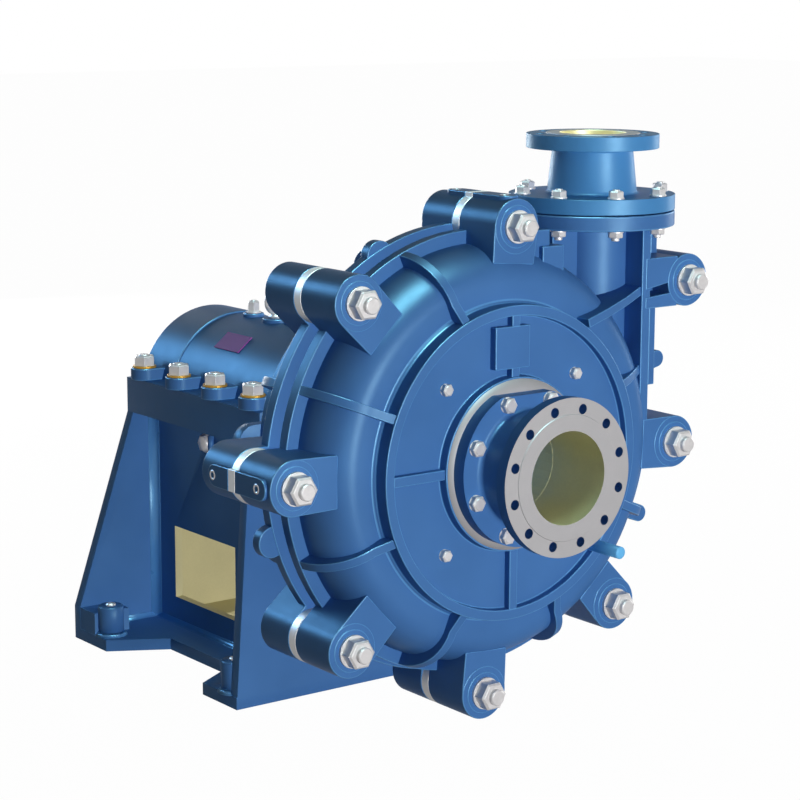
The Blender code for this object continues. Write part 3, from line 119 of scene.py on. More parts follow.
class PumpFinish(bpy.types.PropertyGroup):
    paint: colour("Paint", "Blue machine paint", (0.054, 0.162, 0.413))
    # Edge paint: the lighter blue on rounded edges and fillets is a painted highlight along them.
    edge: colour("Edge paint", "Paint stretched thin over the castings' edges", (0.085, 0.26, 0.56))
    spool: colour("Spool paint", "Fresher blue of the discharge spool", (0.060, 0.235, 0.52))
    rod_paint: colour("Rod paint", "Lighter blue of the drain rod", (0.16, 0.54, 0.95))
    steel: colour("Steel", "Turned faces", (0.42, 0.41, 0.42))
    zinc: colour("Zinc", "Bolts, nuts and washers", (0.72, 0.70, 0.70))
    iron: colour("Bare iron", "Unpainted casting inside the bores", (0.80, 0.74, 0.44))
    pale_iron: colour("Pale iron", "Primed inside of the pedestal", (0.60, 0.55, 0.31))
    gold: colour("Passivated washer", "Yellow washers under the cap bolts", (0.60, 0.32, 0.05))
    plate: colour("Plate", "Bare name plate", (0.50, 0.05, 0.47))
    gloss: share("Paint roughness", "Roughness of the paint", 0.39)
    grain: length("Casting grain", "Height of the casting's grain under the paint", 0.0005)


class CasingSizes(bpy.types.PropertyGroup):
    hub_radius: length("Hub radius", "Collar that the nozzle seats on", 0.190)
    hub_half: length("Hub reach", "Collar's face from the casing's middle", 0.1985)
    disc_radius: length("Disc radius", "Flat disc of the front half", 0.321)
    disc_half: length("Disc reach", "Disc's sunk floor from the middle", 0.1765)
    rim_radius: length("Rim radius", "Raised rim round the disc", 0.344)
    rim_half: length("Rim reach", "Rim's face from the middle", 0.194)
    shelf_radius: length("Shelf radius", "Where the bulge starts", 0.385)
    shelf_half: length("Shelf reach", "Shelf's face from the middle", 0.153)
    foot_radius: length("Bulge foot", "Where the bulge meets the flange", 0.462)
    flange_half: length("Flange reach", "Flange's face from the middle", 0.040)
    joint_half: length("Joint gap", "Half of the gap between the halves", 0.0125)
    front_flange: length("Front flange radius", "Outline of the front half's flange", 0.491)
    rear_flange: length("Rear flange radius", "Outline of the rear half's flange", 0.501)
    swell: length("Outline swell", "How far the outline grows on the discharge side", 0.034)
    rib_width: length("Rib width", "Thickness of the radial ribs", 0.020)
    rib_rise: length("Rib rise", "How far the ribs stand out of the bulge", 0.018)
    boss_radius: length("Boss radius", "Round boss of each stud", 0.060)
    soft_edge: length("Edge radius", "Rounding of the castings' edges", 0.0035)


class FastenerSizes(bpy.types.PropertyGroup):
    nut: length("Stud nut", "Width of a stud's nut across its flats", 0.058)
    washer: length("Stud washer", "Radius of a stud's washer", 0.0375)
    stud: length("Stud", "Radius of a stud", 0.018)
    cap_head: length("Cap bolt head", "Width of a cap bolt's head across its flats", 0.047)
    small_head: length("Disc bolt head", "Width of the small bolts' heads", 0.024)
    nozzle_head: length("Nozzle bolt head", "Width of the nozzle bolts' heads", 0.031)
    discharge_head: length("Discharge bolt head", "Width of the discharge bolts' heads", 0.030)
    facets: number("Facets", "Sides of a round fastener", 32)


class StageSizes(bpy.types.PropertyGroup):
    floor: length("Floor", "Side of the floor", 60.0)
    backdrop: colour("Backdrop", "Pale floor and surroundings", (1.0, 1.0, 1.0))
    ambient: share("Ambient light", "Light from all round", 0.075)


class Value:
    """A shader value. Python's operators on it add the Math nodes."""

    def __init__(self, tree, socket):
        self.tree, self.socket = tree, socket

    def maths(self, operation, *values):
        return self.tree.node("ShaderNodeMath", {"operation": operation}, dict(enumerate(values)))

    def __add__(self, other):
        return self.maths("ADD", self, other)

    def __sub__(self, other):
        return self.maths("SUBTRACT", self, other)

    def __rsub__(self, other):
        return self.maths("SUBTRACT", other, self)

    def __mul__(self, other):
        return self.maths("MULTIPLY", self, other)

    def __pow__(self, other):
        return self.maths("POWER", self, other)

    __radd__, __rmul__ = __add__, __mul__


class Tree:
    """Nodes of one material or world."""

    def __init__(self, owner):
        owner.use_nodes = True
        self.nodes, self.links = owner.node_tree.nodes, owner.node_tree.links
        self.nodes.clear()

    def node(self, kind, settings=None, values=None, output=0):
        made = self.nodes.new(kind)
        for key, setting in (settings or {}).items():
            setattr(made, key, setting)
        for key, value in (values or {}).items():
            found = made.inputs[key] if isinstance(key, int) else next(
                socket for socket in made.inputs if key in (socket.identifier, socket.name))
            if isinstance(value, Value):
                self.links.new(value.socket, found)
            else:
                found.default_value = value
        return Value(self, made.outputs[output]) if made.outputs else None

    def bump(self, strength, distance, height):
        return self.node("ShaderNodeBump", {}, {"Strength": strength, "Distance": distance, "Height": height})

    def show(self, layer, kind="ShaderNodeOutputMaterial"):
        self.node(kind, {}, {"Surface": layer})

    def ramp(self, value, stops):
        made = self.node("ShaderNodeValToRGB", {}, {"Fac": value})
        elements = made.socket.node.color_ramp.elements
        while len(elements) < len(stops):
            elements.new(0.5)
        for element, (place, grey) in zip(elements, stops):
            element.position, element.color = place, (grey, grey, grey, 1.0)
        return made

    def blend(self, factor, first, second):
        """A colour between two others."""
        made = self.node("ShaderNodeMix", {"data_type": "RGBA"},
                         {"Factor_Float": factor, "A_Color": first, "B_Color": second})
        return Value(self, made.socket.node.outputs[2])


def surface(tree, tone, roughness, metallic, bump, specular=0.5):
    """One layer of a finish."""
    return tree.node("ShaderNodeBsdfPrincipled", {}, {
        "Base Color": tone, "Roughness": roughness, "Metallic": metallic, "Specular IOR Level": specular,
        "Normal": bump})


def finish_tree(name):
    """A new finish, its nodes, and the place on the object that its patterns read."""
    made = bpy.data.materials.new(name)
    tree = Tree(made)
    return made, tree, tree.node("ShaderNodeTexCoord", output=3)


# Colour of the paint's gloss.
GLINT = (0.42, 0.78, 1.0)


def solid_colour(values, scale=1.0):
    return (*[min(1.0, value * scale) for value in values], 1.0)


def noise(tree, coordinates, scale, detail=3.0, roughness=0.5):
    return tree.node("ShaderNodeTexNoise", {}, {"Vector": coordinates, "Scale": scale, "Detail": detail,
                                                "Roughness": roughness})


def paint_material(name, base, roughness, grain, sheen=0.036):
    """Machine paint over a casting: faint clouds of tone, settled gloss and the sand's grain below it."""
    made, tree, place = finish_tree(name)
    clouds = noise(tree, place, 5.0, 3.0)
    fine = noise(tree, place, 260.0, 2.0)
    coarse = noise(tree, place, 38.0, 3.0)
    tone = tree.blend(tree.ramp(clouds, ((0.32, 0.0), (0.68, 1.0))), solid_colour(base, 0.93),
                      solid_colour(base, 1.05))
    bump = tree.bump(0.35, grain, fine * 0.55 + coarse * 0.45)
    settled = roughness + (coarse - 0.5) * 0.12
    matt = surface(tree, tone, settled, 0.0, bump, 0.02)
    gloss = surface(tree, solid_colour(GLINT), settled, 1.0, bump)
    share_of_gloss = (clouds - 0.5) * (sheen * 0.5) + sheen
    tree.show(tree.node("ShaderNodeMixShader", {}, {0: share_of_gloss, 1: matt, 2: gloss}))
    return made


def turned_material(name, base, axis="Y"):
    """Turned steel: fine rings round the axis, and tone that drifts over the face."""
    made, tree, place = finish_tree(name)
    centre = ORIGIN if axis == "Y" else ORIGIN + DISCHARGE
    shifted = tree.node("ShaderNodeMapping", {}, {"Vector": place, "Location": -centre})
    parts = tree.node("ShaderNodeSeparateXYZ", {}, {"Vector": shifted}).socket.node.outputs
    across = Value(tree, parts[0])
    other = Value(tree, parts[2] if axis == "Y" else parts[1])
    radius = (across * across + other * other) ** 0.5
    rings = noise(tree, tree.node("ShaderNodeCombineXYZ", {}, {"X": radius}), 700.0, 2.0)
    drift = noise(tree, place, 24.0, 3.0)
    tone = tree.blend(rings * 0.6 + drift * 0.4, solid_colour(base, 0.84), solid_colour(base, 1.12))
    tree.show(surface(tree, tone, rings * 0.16 + 0.40, 0.25, tree.bump(0.25, 0.0002, rings), 0.25))
    return made


def plated_material(name, base, roughness, metallic=0.5):
    """Zinc plate or passivated steel with faint handling marks."""
    made, tree, place = finish_tree(name)
    marks = noise(tree, place, 90.0, 4.0, 0.6)
    tone = tree.blend(marks, solid_colour(base, 0.86), solid_colour(base, 1.10))
    bump = tree.bump(0.2, 0.0002, noise(tree, place, 420.0, 2.0))
    tree.show(surface(tree, tone, marks * 0.14 + roughness, metallic, bump, 0.3))
    return made


def bare_iron_material(name, base, metallic=0.0):
    """Unpainted casting: grainy, with faint stains."""
    made, tree, place = finish_tree(name)
    grain = noise(tree, place, 180.0, 4.0, 0.6)
    stains = noise(tree, place, 9.0, 4.0)
    tone = tree.blend(grain * 0.35 + stains * 0.65, solid_colour(base, 0.80), solid_colour(base, 1.14))
    tree.show(surface(tree, tone, stains * 0.2 + 0.34, metallic, tree.bump(0.4, 0.0006, grain), 0.3))
    return made


def rubber_material(name):
    """Black rubber, a little dusty."""
    made, tree, place = finish_tree(name)
    dust = noise(tree, place, 60.0, 3.0)
    tone = tree.blend(dust, (0.012, 0.012, 0.013, 1.0), (0.04, 0.04, 0.04, 1.0))
    tree.show(surface(tree, tone, dust * 0.15 + 0.7, 0.0, tree.bump(0.3, 0.0003, dust)))
    return made


def material(name):
    """A named finish, made once from the sidebar's colours."""
    found = bpy.data.materials.get(name)
    if found:
        return found
    finish = bpy.context.scene.pump_finish
    makers = {
        "casting blue": lambda: paint_material(name, finish.paint, finish.gloss, finish.grain),
        # Painted highlight: a lighter, glossier blue for rounded edges and fillets.
        "edge blue": lambda: paint_material(name, finish.edge, 0.30, finish.grain / 4, 0.08),
        "spool blue": lambda: paint_material(name, finish.spool, finish.gloss, finish.grain / 2, 0.055),
        "rod blue": lambda: paint_material(name, finish.rod_paint, finish.gloss, finish.grain / 2),
        "plate purple": lambda: paint_material(name, finish.plate, 0.45, finish.grain / 2),
        "turned steel": lambda: turned_material(name, finish.steel),
        "turned steel upright": lambda: turned_material(name, finish.steel, "Z"),
        "zinc plate": lambda: plated_material(name, finish.zinc, 0.28, 0.35),
        "ground steel": lambda: plated_material(name, (0.58, 0.565, 0.55), 0.38, 0.7),
        "passivated yellow": lambda: plated_material(name, finish.gold, 0.25, 0.4),
        "brass cage": lambda: plated_material(name, finish.gold, 0.35),
        "dark steel": lambda: plated_material(name, (0.07, 0.07, 0.075), 0.35, 0.6),
        "wear iron": lambda: bare_iron_material(name, (0.20, 0.20, 0.21)),
        "bare iron": lambda: bare_iron_material(name, finish.iron, 0.55),
        "pale iron": lambda: bare_iron_material(name, finish.pale_iron),
        "gasket": lambda: rubber_material(name),
    }
    return makers[name]()


def placed(name, data):
    """A new object in the scene."""
    made = bpy.data.objects.new(name, data)
    bpy.context.scene.collection.objects.link(made)
    return made


def polar(radius, degrees):
    return radius * math.cos(math.radians(degrees)), radius * math.sin(math.radians(degrees))


def arc(centre, radii, first, last, count=8):
    """Points along a piece of an ellipse, angles in degrees."""
    return [(centre[0] + radii[0] * math.cos(turn), centre[1] + radii[1] * math.sin(turn))
            for turn in (math.radians(first + (last - first) * i / count) for i in range(count + 1))]


def sweep(radius, first, last, count):
    """Points along a piece of a circle about the origin."""
    return arc((0, 0), (radius, radius), first, last, count)


def tab(radius, reach, root, waist=1.0, count=20):
    """A tab along X: a round end at its reach, and straight sides back to its root."""
    return arc((reach, 0), (radius, radius), -90.0, 90.0, count) + [
        (root, radius * waist), (root, -radius * waist)]


def bolt_circle(radius, count=8):
    """Places round a circle that straddle its upright line."""
    return [polar(radius, (i + 0.5) * 360.0 / count) for i in range(count)]


class Shape:
    """Closed solids collected in one mesh, with a finish for each."""

    def __init__(self, *finishes):
        self.bm = bmesh.new()
        self.finishes = list(finishes)

    def _settle(self, before, transform, finish):
        fresh = [face for face in self.bm.faces if face not in before]
        verts = list({vert for face in fresh for vert in face.verts})
        if transform is not None:
            bmesh.ops.transform(self.bm, matrix=transform, verts=verts)
        bmesh.ops.recalc_face_normals(self.bm, faces=fresh)
        for face in fresh:
            face.material_index = self.finishes.index(finish) if finish else 0
            face.smooth = True

    def turn(self, outline, steps=96, transform=None, finish=None):
        """Turns (y, r) points about Y, closed onto themselves."""
        before = set(self.bm.faces)
        verts = [self.bm.verts.new((r, y, 0)) for y, r in outline]
        edges = [self.bm.edges.new((a, b)) for a, b in zip(verts, verts[1:] + verts[:1])]
        bmesh.ops.spin(self.bm, geom=verts + edges, axis=(0, 1, 0), cent=(0, 0, 0), angle=2 * math.pi,
                       steps=steps, use_merge=True)
        fresh = [face for face in self.bm.faces if face not in before]
        own = list({vert for face in fresh for vert in face.verts} | {v for v in verts if v.is_valid})
        bmesh.ops.remove_doubles(self.bm, verts=own, dist=1e-6)
        fresh = [face for face in self.bm.faces if face not in before]
        bmesh.ops.delete(self.bm, geom=[f for f in fresh if f.calc_area() < 1e-10], context="FACES")
        bmesh.ops.delete(self.bm, geom=[e for e in self.bm.edges if not e.link_faces], context="EDGES")
        self._settle(before, transform, finish)

    def draw(self, outline, start, end, transform=None, finish=None):
        """Draws an outline of (x, z) points along Y from start to end."""
        before = set(self.bm.faces)
        near = [self.bm.verts.new((x, start, z)) for x, z in outline]
        far = [self.bm.verts.new((x, end, z)) for x, z in outline]
        self.bm.faces.new(near)
        self.bm.faces.new(far[::-1])
        count = len(outline)
        for i in range(count):
            j = (i + 1) % count
            self.bm.faces.new((near[j], near[i], far[i], far[j]))
        self._settle(before, transform, finish)

    def bar(self, x, y, z, transform=None):
        """A block between two values on each axis."""
        self.draw([(x[0], z[0]), (x[1], z[0]), (x[1], z[1]), (x[0], z[1])], y[0], y[1], transform)

    def ring(self, inner, outer, start, end, steps=96, transform=None, finish=None):
        """A turned ring, or a plain rod where the inner radius is nothing."""
        self.turn([(start, inner), (start, outer), (end, outer), (end, inner)], steps, transform, finish)

    def pin(self, radius, start, end, chamfer, transform):
        """A rod with chamfered ends."""
        self.turn([(start, 0), (start, radius - chamfer), (start + chamfer, radius), (end - chamfer, radius),
                   (end, radius - chamfer), (end, 0)], 32, transform)

    def object(self, name, place=ORIGIN):
        """The mesh as an object, set at its place in the frame."""
        mesh = bpy.data.meshes.new(name)
        self.bm.to_mesh(mesh)
        self.bm.free()
        for finish in self.finishes:
            mesh.materials.append(material(finish))
        mesh.transform(Matrix.Translation(place))
        return placed(name, mesh)


def baked(item):
    """Applies what the object's modifiers make of it."""
    graph = bpy.context.evaluated_depsgraph_get()
    mesh = bpy.data.meshes.new_from_object(item.evaluated_get(graph))
    item.modifiers.clear()
    item.data = mesh
    mesh.name = item.name
    return item


def soften(item, width, segments=2, angle=28.0, edge=None):
    """Rounds the edges as a casting's or a tool's would be; the rounding may have its own finish, the lighter
    blue of a painted edge highlight.
    """
    step = item.modifiers.new("soft edges", "BEVEL")
    step.width, step.segments = width, segments
    step.limit_method, step.angle_limit = "ANGLE", math.radians(angle)
    step.harden_normals = step.use_clamp_overlap = True
    if edge:
        item.data.materials.append(material(edge))
        step.material = len(item.data.materials) - 1
    return baked(item)


def carve(item, cutter):
    """Takes the cutter's solids out of the item."""
    step = item.modifiers.new("carve", "BOOLEAN")
    step.operation, step.solver, step.object = "DIFFERENCE", "EXACT", cutter
    baked(item)
    bpy.data.objects.remove(cutter)
    return item


def seat(item, body, nodes):
    """Hands a finished piece to the frame."""
    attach(item, body)
    if nodes:
        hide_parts(*nodes)


def along_x(place):
    """Y becomes -X."""
    return Matrix.Translation(place) @ Matrix.Rotation(math.pi / 2, 4, "Z")


def upright(place):
    """Y becomes Z."""
    return Matrix.Translation(place) @ Matrix.Rotation(math.pi / 2, 4, "X")


def turned_by(degrees, place=(0, 0, 0)):
    """Turned about Y, so that X points that far up."""
    return Matrix.Translation(place) @ Matrix.Rotation(-math.radians(degrees), 4, "Y")


class NodeTree:
    """A Geometry Nodes tree with named inputs."""

    def __init__(self, name):
        self.group = bpy.data.node_groups.new(name, "GeometryNodeTree")
        self.group.interface.new_socket("Geometry", in_out="INPUT", socket_type="NodeSocketGeometry")
        self.group.interface.new_socket("Geometry", in_out="OUTPUT", socket_type="NodeSocketGeometry")
        self.start = self.group.nodes.new("NodeGroupInput")
        self.end = self.group.nodes.new("NodeGroupOutput")

    def entry(self, name, kind="NodeSocketFloat"):
        self.group.interface.new_socket(name, in_out="INPUT", socket_type=kind)
        return self.start.outputs[name]

    def node(self, kind, settings=None, values=None):
        made = self.group.nodes.new(kind)
        for key, setting in (settings or {}).items():
            setattr(made, key, setting)
        for key, value in (values or {}).items():
            if isinstance(value, bpy.types.NodeSocket):
                self.group.links.new(value, made.inputs[key])
            else:
                made.inputs[key].default_value = value
        return made.outputs[0]

    def sum(self, operation, first, second):
        return self.node("ShaderNodeMath", {"operation": operation}, {0: first, 1: second})

    def finish(self, geometry):
        self.group.links.new(geometry, self.end.inputs[0])
        return self.group


def fastener_tree():
    """A washer, a nut with chamfered corners and a tip, set on every point of the mesh."""
    name = "fasteners on points"
    if name in bpy.data.node_groups:
        return bpy.data.node_groups[name]
    tree = NodeTree(name)
    flats, height = tree.entry("Across Flats"), tree.entry("Nut Height")
    washer, washer_t = tree.entry("Washer Radius"), tree.entry("Washer Thickness")
    tip, tip_length = tree.entry("Tip Radius"), tree.entry("Tip Length")
    facets = tree.entry("Facets", "NodeSocketInt")
    turn = tree.entry("Direction", "NodeSocketRotation")
    metal = tree.entry("Nut Finish", "NodeSocketMaterial")
    washer_metal = tree.entry("Washer Finish", "NodeSocketMaterial")
    corner = tree.sum("DIVIDE", flats, math.sqrt(3))
    chamfer = tree.sum("MULTIPLY", height, 0.14)
    body_height = tree.sum("SUBTRACT", height, chamfer)

    def lifted(shape, z, finish):
        place = tree.node("ShaderNodeCombineXYZ", {}, {"Z": z})
        moved = tree.node("GeometryNodeTransform", {}, {"Geometry": shape, "Translation": place})
        flat = tree.node("GeometryNodeSetShadeSmooth", {}, {"Geometry": moved, "Shade Smooth": False})
        return tree.node("GeometryNodeSetMaterial", {}, {"Geometry": flat, "Material": finish})

    ring = tree.node("GeometryNodeMeshCylinder", {}, {
        "Vertices": facets, "Radius": washer, "Depth": washer_t})
    hexagon = tree.node("GeometryNodeMeshCylinder", {}, {
        "Vertices": 6, "Radius": corner, "Depth": body_height})
    crown = tree.node("GeometryNodeMeshCone", {}, {
        "Vertices": 6, "Radius Bottom": corner, "Radius Top": tree.sum("MULTIPLY", corner, 0.86),
        "Depth": chamfer})
    stem = tree.node("GeometryNodeMeshCylinder", {}, {"Vertices": facets, "Radius": tip, "Depth": tip_length})
    dome_height = tree.sum("MULTIPLY", tip, 0.12)
    dome = tree.node("GeometryNodeMeshCone", {}, {
        "Vertices": facets, "Radius Bottom": tip, "Radius Top": tree.sum("MULTIPLY", tip, 0.87),
        "Depth": dome_height})
    nut_top = tree.sum("ADD", washer_t, body_height)
    stem_base = tree.sum("ADD", nut_top, chamfer)
    join = tree.group.nodes.new("GeometryNodeJoinGeometry")
    for part in (
        lifted(ring, tree.sum("MULTIPLY", washer_t, 0.5), washer_metal),
        lifted(hexagon, tree.sum("ADD", washer_t, tree.sum("MULTIPLY", body_height, 0.5)), metal),
        lifted(crown, nut_top, metal),
        lifted(stem, tree.sum("ADD", stem_base, tree.sum("MULTIPLY", tip_length, 0.5)), metal),
        lifted(dome, tree.sum("ADD", stem_base, tip_length), metal),
    ):
        tree.group.links.new(part, join.inputs[0])
    copies = tree.node("GeometryNodeInstanceOnPoints", {}, {
        "Points": tree.start.outputs[0], "Instance": join.outputs[0], "Rotation": turn})
    real = tree.node("GeometryNodeRealizeInstances", {}, {"Geometry": copies})
    rings = tree.node("GeometryNodeMaterialSelection", {}, {"Material": washer_metal})
    return tree.finish(tree.node("GeometryNodeSetMaterial", {}, {
        "Geometry": real, "Selection": rings, "Material": washer_metal}))


def ring_copies_tree():
    """The mesh again and again round the shaft's axis, by a first angle and a step."""
    name = "copies round the shaft"
    if name in bpy.data.node_groups:
        return bpy.data.node_groups[name]
    tree = NodeTree(name)
    count = tree.entry("Count", "NodeSocketInt")
    first, step = tree.entry("First Angle"), tree.entry("Step Angle")
    centre = tree.entry("Centre", "NodeSocketVector")
    metal = tree.entry("Finish", "NodeSocketMaterial")
    points = tree.node("GeometryNodePoints", {}, {"Count": count, "Position": centre})
    index = tree.node("GeometryNodeInputIndex")
    angle = tree.sum("ADD", first, tree.sum("MULTIPLY", index, step))
    turn = tree.node("ShaderNodeCombineXYZ", {}, {"Y": tree.sum("MULTIPLY", angle, -1.0)})
    rotation = tree.node("FunctionNodeEulerToRotation", {}, {"Euler": turn})
    copies = tree.node("GeometryNodeInstanceOnPoints", {}, {
        "Points": points, "Instance": tree.start.outputs[0], "Rotation": rotation})
    real = tree.node("GeometryNodeRealizeInstances", {}, {"Geometry": copies})
    return tree.finish(tree.node("GeometryNodeSetMaterial", {}, {"Geometry": real, "Material": metal}))


def grown(item, group, values):
    """Runs a Geometry Nodes tree on the item and keeps the plain mesh."""
    step = item.modifiers.new(group.name, "NODES")
    step.node_group = group
    for socket in group.interface.items_tree:
        if socket.in_out == "INPUT" and socket.name in values:
            step[socket.identifier] = values[socket.name]
    return baked(item)


POINTING = {"front": (math.pi / 2, 0, 0), "rear": (-math.pi / 2, 0, 0), "up": (0, 0, 0),
            "down": (math.pi, 0, 0)}


def fasteners(name, places, pointing, head, height, washer, washer_t, tip, tip_length=0.0004,
              washer_finish="zinc plate"):
    """Nuts or bolt heads at places in the pump's frame, all pointing one way."""
    sizes = bpy.context.scene.pump_fasteners
    mesh = bpy.data.meshes.new(name)
    mesh.from_pydata([Vector(place) + ORIGIN for place in places], [], [])
    item = grown(placed(name, mesh), fastener_tree(), {
        "Across Flats": head, "Nut Height": height, "Washer Radius": washer, "Washer Thickness": washer_t,
        "Tip Radius": tip, "Tip Length": tip_length, "Facets": sizes.facets,
        "Direction": POINTING[pointing], "Nut Finish": material("zinc plate"),
        "Washer Finish": material(washer_finish)})
    return soften(item, width=head * 0.012, segments=1, angle=20.0)


def merged(name, *items):
    """Several finished objects as one."""
    bm = bmesh.new()
    finishes = []
    for item in items:
        offset = {}
        for index, slot in enumerate(item.data.materials):
            if slot not in finishes:
                finishes.append(slot)
            offset[index] = finishes.index(slot)
        before = len(bm.faces)
        bm.from_mesh(item.data)
        bm.faces.ensure_lookup_table()
        for face in bm.faces[before:]:
            face.material_index = offset.get(face.material_index, 0)
        bpy.data.objects.remove(item)
    mesh = bpy.data.meshes.new(name)
    bm.to_mesh(mesh)
    bm.free()
    for slot in finishes:
        mesh.materials.append(slot)
    return placed(name, mesh)


def stud_place(name):
    centre = middle(f"stud_{name}")
    return centre.x, centre.z


def casing_outline(sizes, radius, top):
    """The flange's outline: a circle that grows towards the discharge, with a tongue behind the pipe."""
    right = radius + sizes.swell
    points = [(x + sizes.swell * max(0.0, x / radius), z) for x, z in sweep(radius, 90.0, 360.0, 96)]
    pocket, tongue, left = 0.12, DISCHARGE.x + 0.02, 2 * DISCHARGE.x - right
    first = math.degrees(math.asin(pocket / radius))
    turn = math.degrees(math.acos(tongue / radius))
    last = math.degrees(math.acos(left / radius))
    return [*points, (right, pocket), *sweep(radius, first, turn, 12), (tongue, top), (left, top),
            *sweep(radius, last, 90.0, 12)[:-1]]


def bulge(sizes, side):
    """The bulge's curve from the shelf to the flange."""
    reach = sizes.shelf_half - sizes.flange_half
    return arc((MID_Y + side * sizes.flange_half, sizes.shelf_radius),
               (side * reach, sizes.foot_radius - sizes.shelf_radius), 0.0, 90.0, 14)


def add_lugs(shape, sizes, side):
    """The stud bosses and webs of one casing half."""
    far = MID_Y + side * BOSS_HALF - (FRONT_OUT if side < 0 else 0.0)
    near = MID_Y + side * sizes.joint_half
    for name in STUDS:
        x, z = stud_place(name)
        place = Matrix.Translation((x, 0, z))
        angle, root = math.degrees(math.atan2(z, x)), WEB_ROOT - math.hypot(x, z)
        if name == "upper_right":
            angle, root = 0.0, sizes.rear_flange - x
        if name == "upper_right" and side < 0:
            add_split_arm(shape, sizes, far, near, x, z)
        else:
            shape.draw(tab(sizes.boss_radius, 0, root, WAIST, 24), far - side * OVERLAP / 2, near,
                       turned_by(angle, (x, 0, z)))
        shape.ring(0, sizes.boss_radius, far, near, 48, place)
        shape.turn([(far + side * SEAT_RISE, 0), (far + side * SEAT_RISE, SEAT_RADIUS),
                    (far - side * 2 * SEAT_RISE, SEAT_RADIUS + 0.0005), (far - side * 2 * SEAT_RISE, 0)],
                   48, place)


def add_split_arm(shape, sizes, far, near, x, z):
    """The upper right boss's arm: two bars level with the boss and a groove between them."""
    root, wide, tip, step, deep = WEB_ROOT - x, sizes.boss_radius * WAIST, -0.030, 0.004, 0.055
    for outline, start in (
        ([(root, wide), (root, -0.014), (tip, 0.002), (tip, wide)], far),
        ([(root, -0.032), (root, -wide), (tip, -wide), (tip, -0.024)], far),
        ([(root, wide - step), (root, step - wide), (0, step - wide), (0, wide - step)], far + deep),
    ):
        shape.draw(outline, start + OVERLAP / 2, near, Matrix.Translation((x, 0, z)))


def add_pads(shape, sizes, side):
    """Flat pads with a round end on the left boss and on the top one, each for a jacking screw."""
    half, reach, rise = 0.024, 0.102 if side < 0 else 0.066, sizes.boss_radius + PAD_RISE
    joint = MID_Y + side * sizes.joint_half
    outline = [(joint, -half), (joint, half),
               *arc((MID_Y + side * reach, 0), (side * half, half), 90.0, -90.0, 16)]
    x, z = stud_place("left")
    shape.draw(outline, -x + half, -x + rise, along_x((0, 0, z)))
    x, z = stud_place("top")
    shape.draw([(across, -y) for y, across in outline], z + half, z + rise, upright((x, 0, 0)))


def screw_holes(side):
    """Bright rings in the pads, each round a sunk screw."""
    shape = Shape("zinc plate", "turned steel")
    y = MID_Y + (-0.094 if side < 0 else 0.072)
    hole, rim, deep, sunk = 0.0062, 0.0108, 0.01, 0.0012
    left, top = stud_place("left"), stud_place("top")
    pad = bpy.context.scene.pump_casing.boss_radius + PAD_RISE + 0.0002
    for rise, place in ((pad - left[0], along_x((0, y, left[1]))), (pad + top[1], upright((top[0], y, 0)))):
        shape.ring(hole, rim, rise - deep, rise, 32, place)
        shape.ring(0, hole + 0.0008, rise - deep, rise - sunk, 24, place, "turned steel")
    return shape.object("screw_holes")


def radial_ribs(sizes, side, outer):
    """Six ribs with curved fronts, from 112.5 degrees round to the lower right."""
    root, reach = sizes.rim_radius - sizes.soft_edge, sizes.shelf_half - sizes.flange_half + sizes.rib_rise
    line = [(root, sizes.rim_half - sizes.soft_edge),
            *arc((sizes.shelf_radius, sizes.flange_half), (outer - sizes.shelf_radius, reach), 90, 0, 12),
            (outer, sizes.flange_half - OVERLAP), (root, sizes.flange_half)]
    shape = Shape("casting blue")
    lean = Matrix(((1, 0, 0, 0), (0, 0, -side, MID_Y), (0, 1, 0, 0), (0, 0, 0, 1)))
    shape.draw([(r, -half) for r, half in line], -sizes.rib_width / 2, sizes.rib_width / 2, lean)
    ribs = grown(shape.object("rib", (0, 0, 0)), ring_copies_tree(), {
        "Count": 6, "First Angle": math.radians(112.5), "Step Angle": math.radians(45.0),
        "Centre": ORIGIN, "Finish": material("casting blue")})
    # The rounded edges take the lighter blue of a painted highlight.
    return soften(ribs, width=sizes.soft_edge, edge="edge blue")


def add_flange(shape, sizes, side, radius):
    """The flange of one casing half, with its bosses, webs and pads."""
    shape.draw(casing_outline(sizes, radius, BRANCH_TOP), MID_Y + side * sizes.flange_half,
               MID_Y + side * sizes.joint_half)
    add_lugs(shape, sizes, side)
    add_pads(shape, sizes, side)


def finished_half(name, shape, sizes, side, radius, *more):
    """One casing half with soft edges, its ribs and the rings in its pads."""
    # The rounded edges take the lighter blue of a painted highlight.
    body = soften(shape.object(name), width=sizes.soft_edge, edge="edge blue")
    return merged(name, body, radial_ribs(sizes, side, radius - OVERLAP), *more, screw_holes(side))


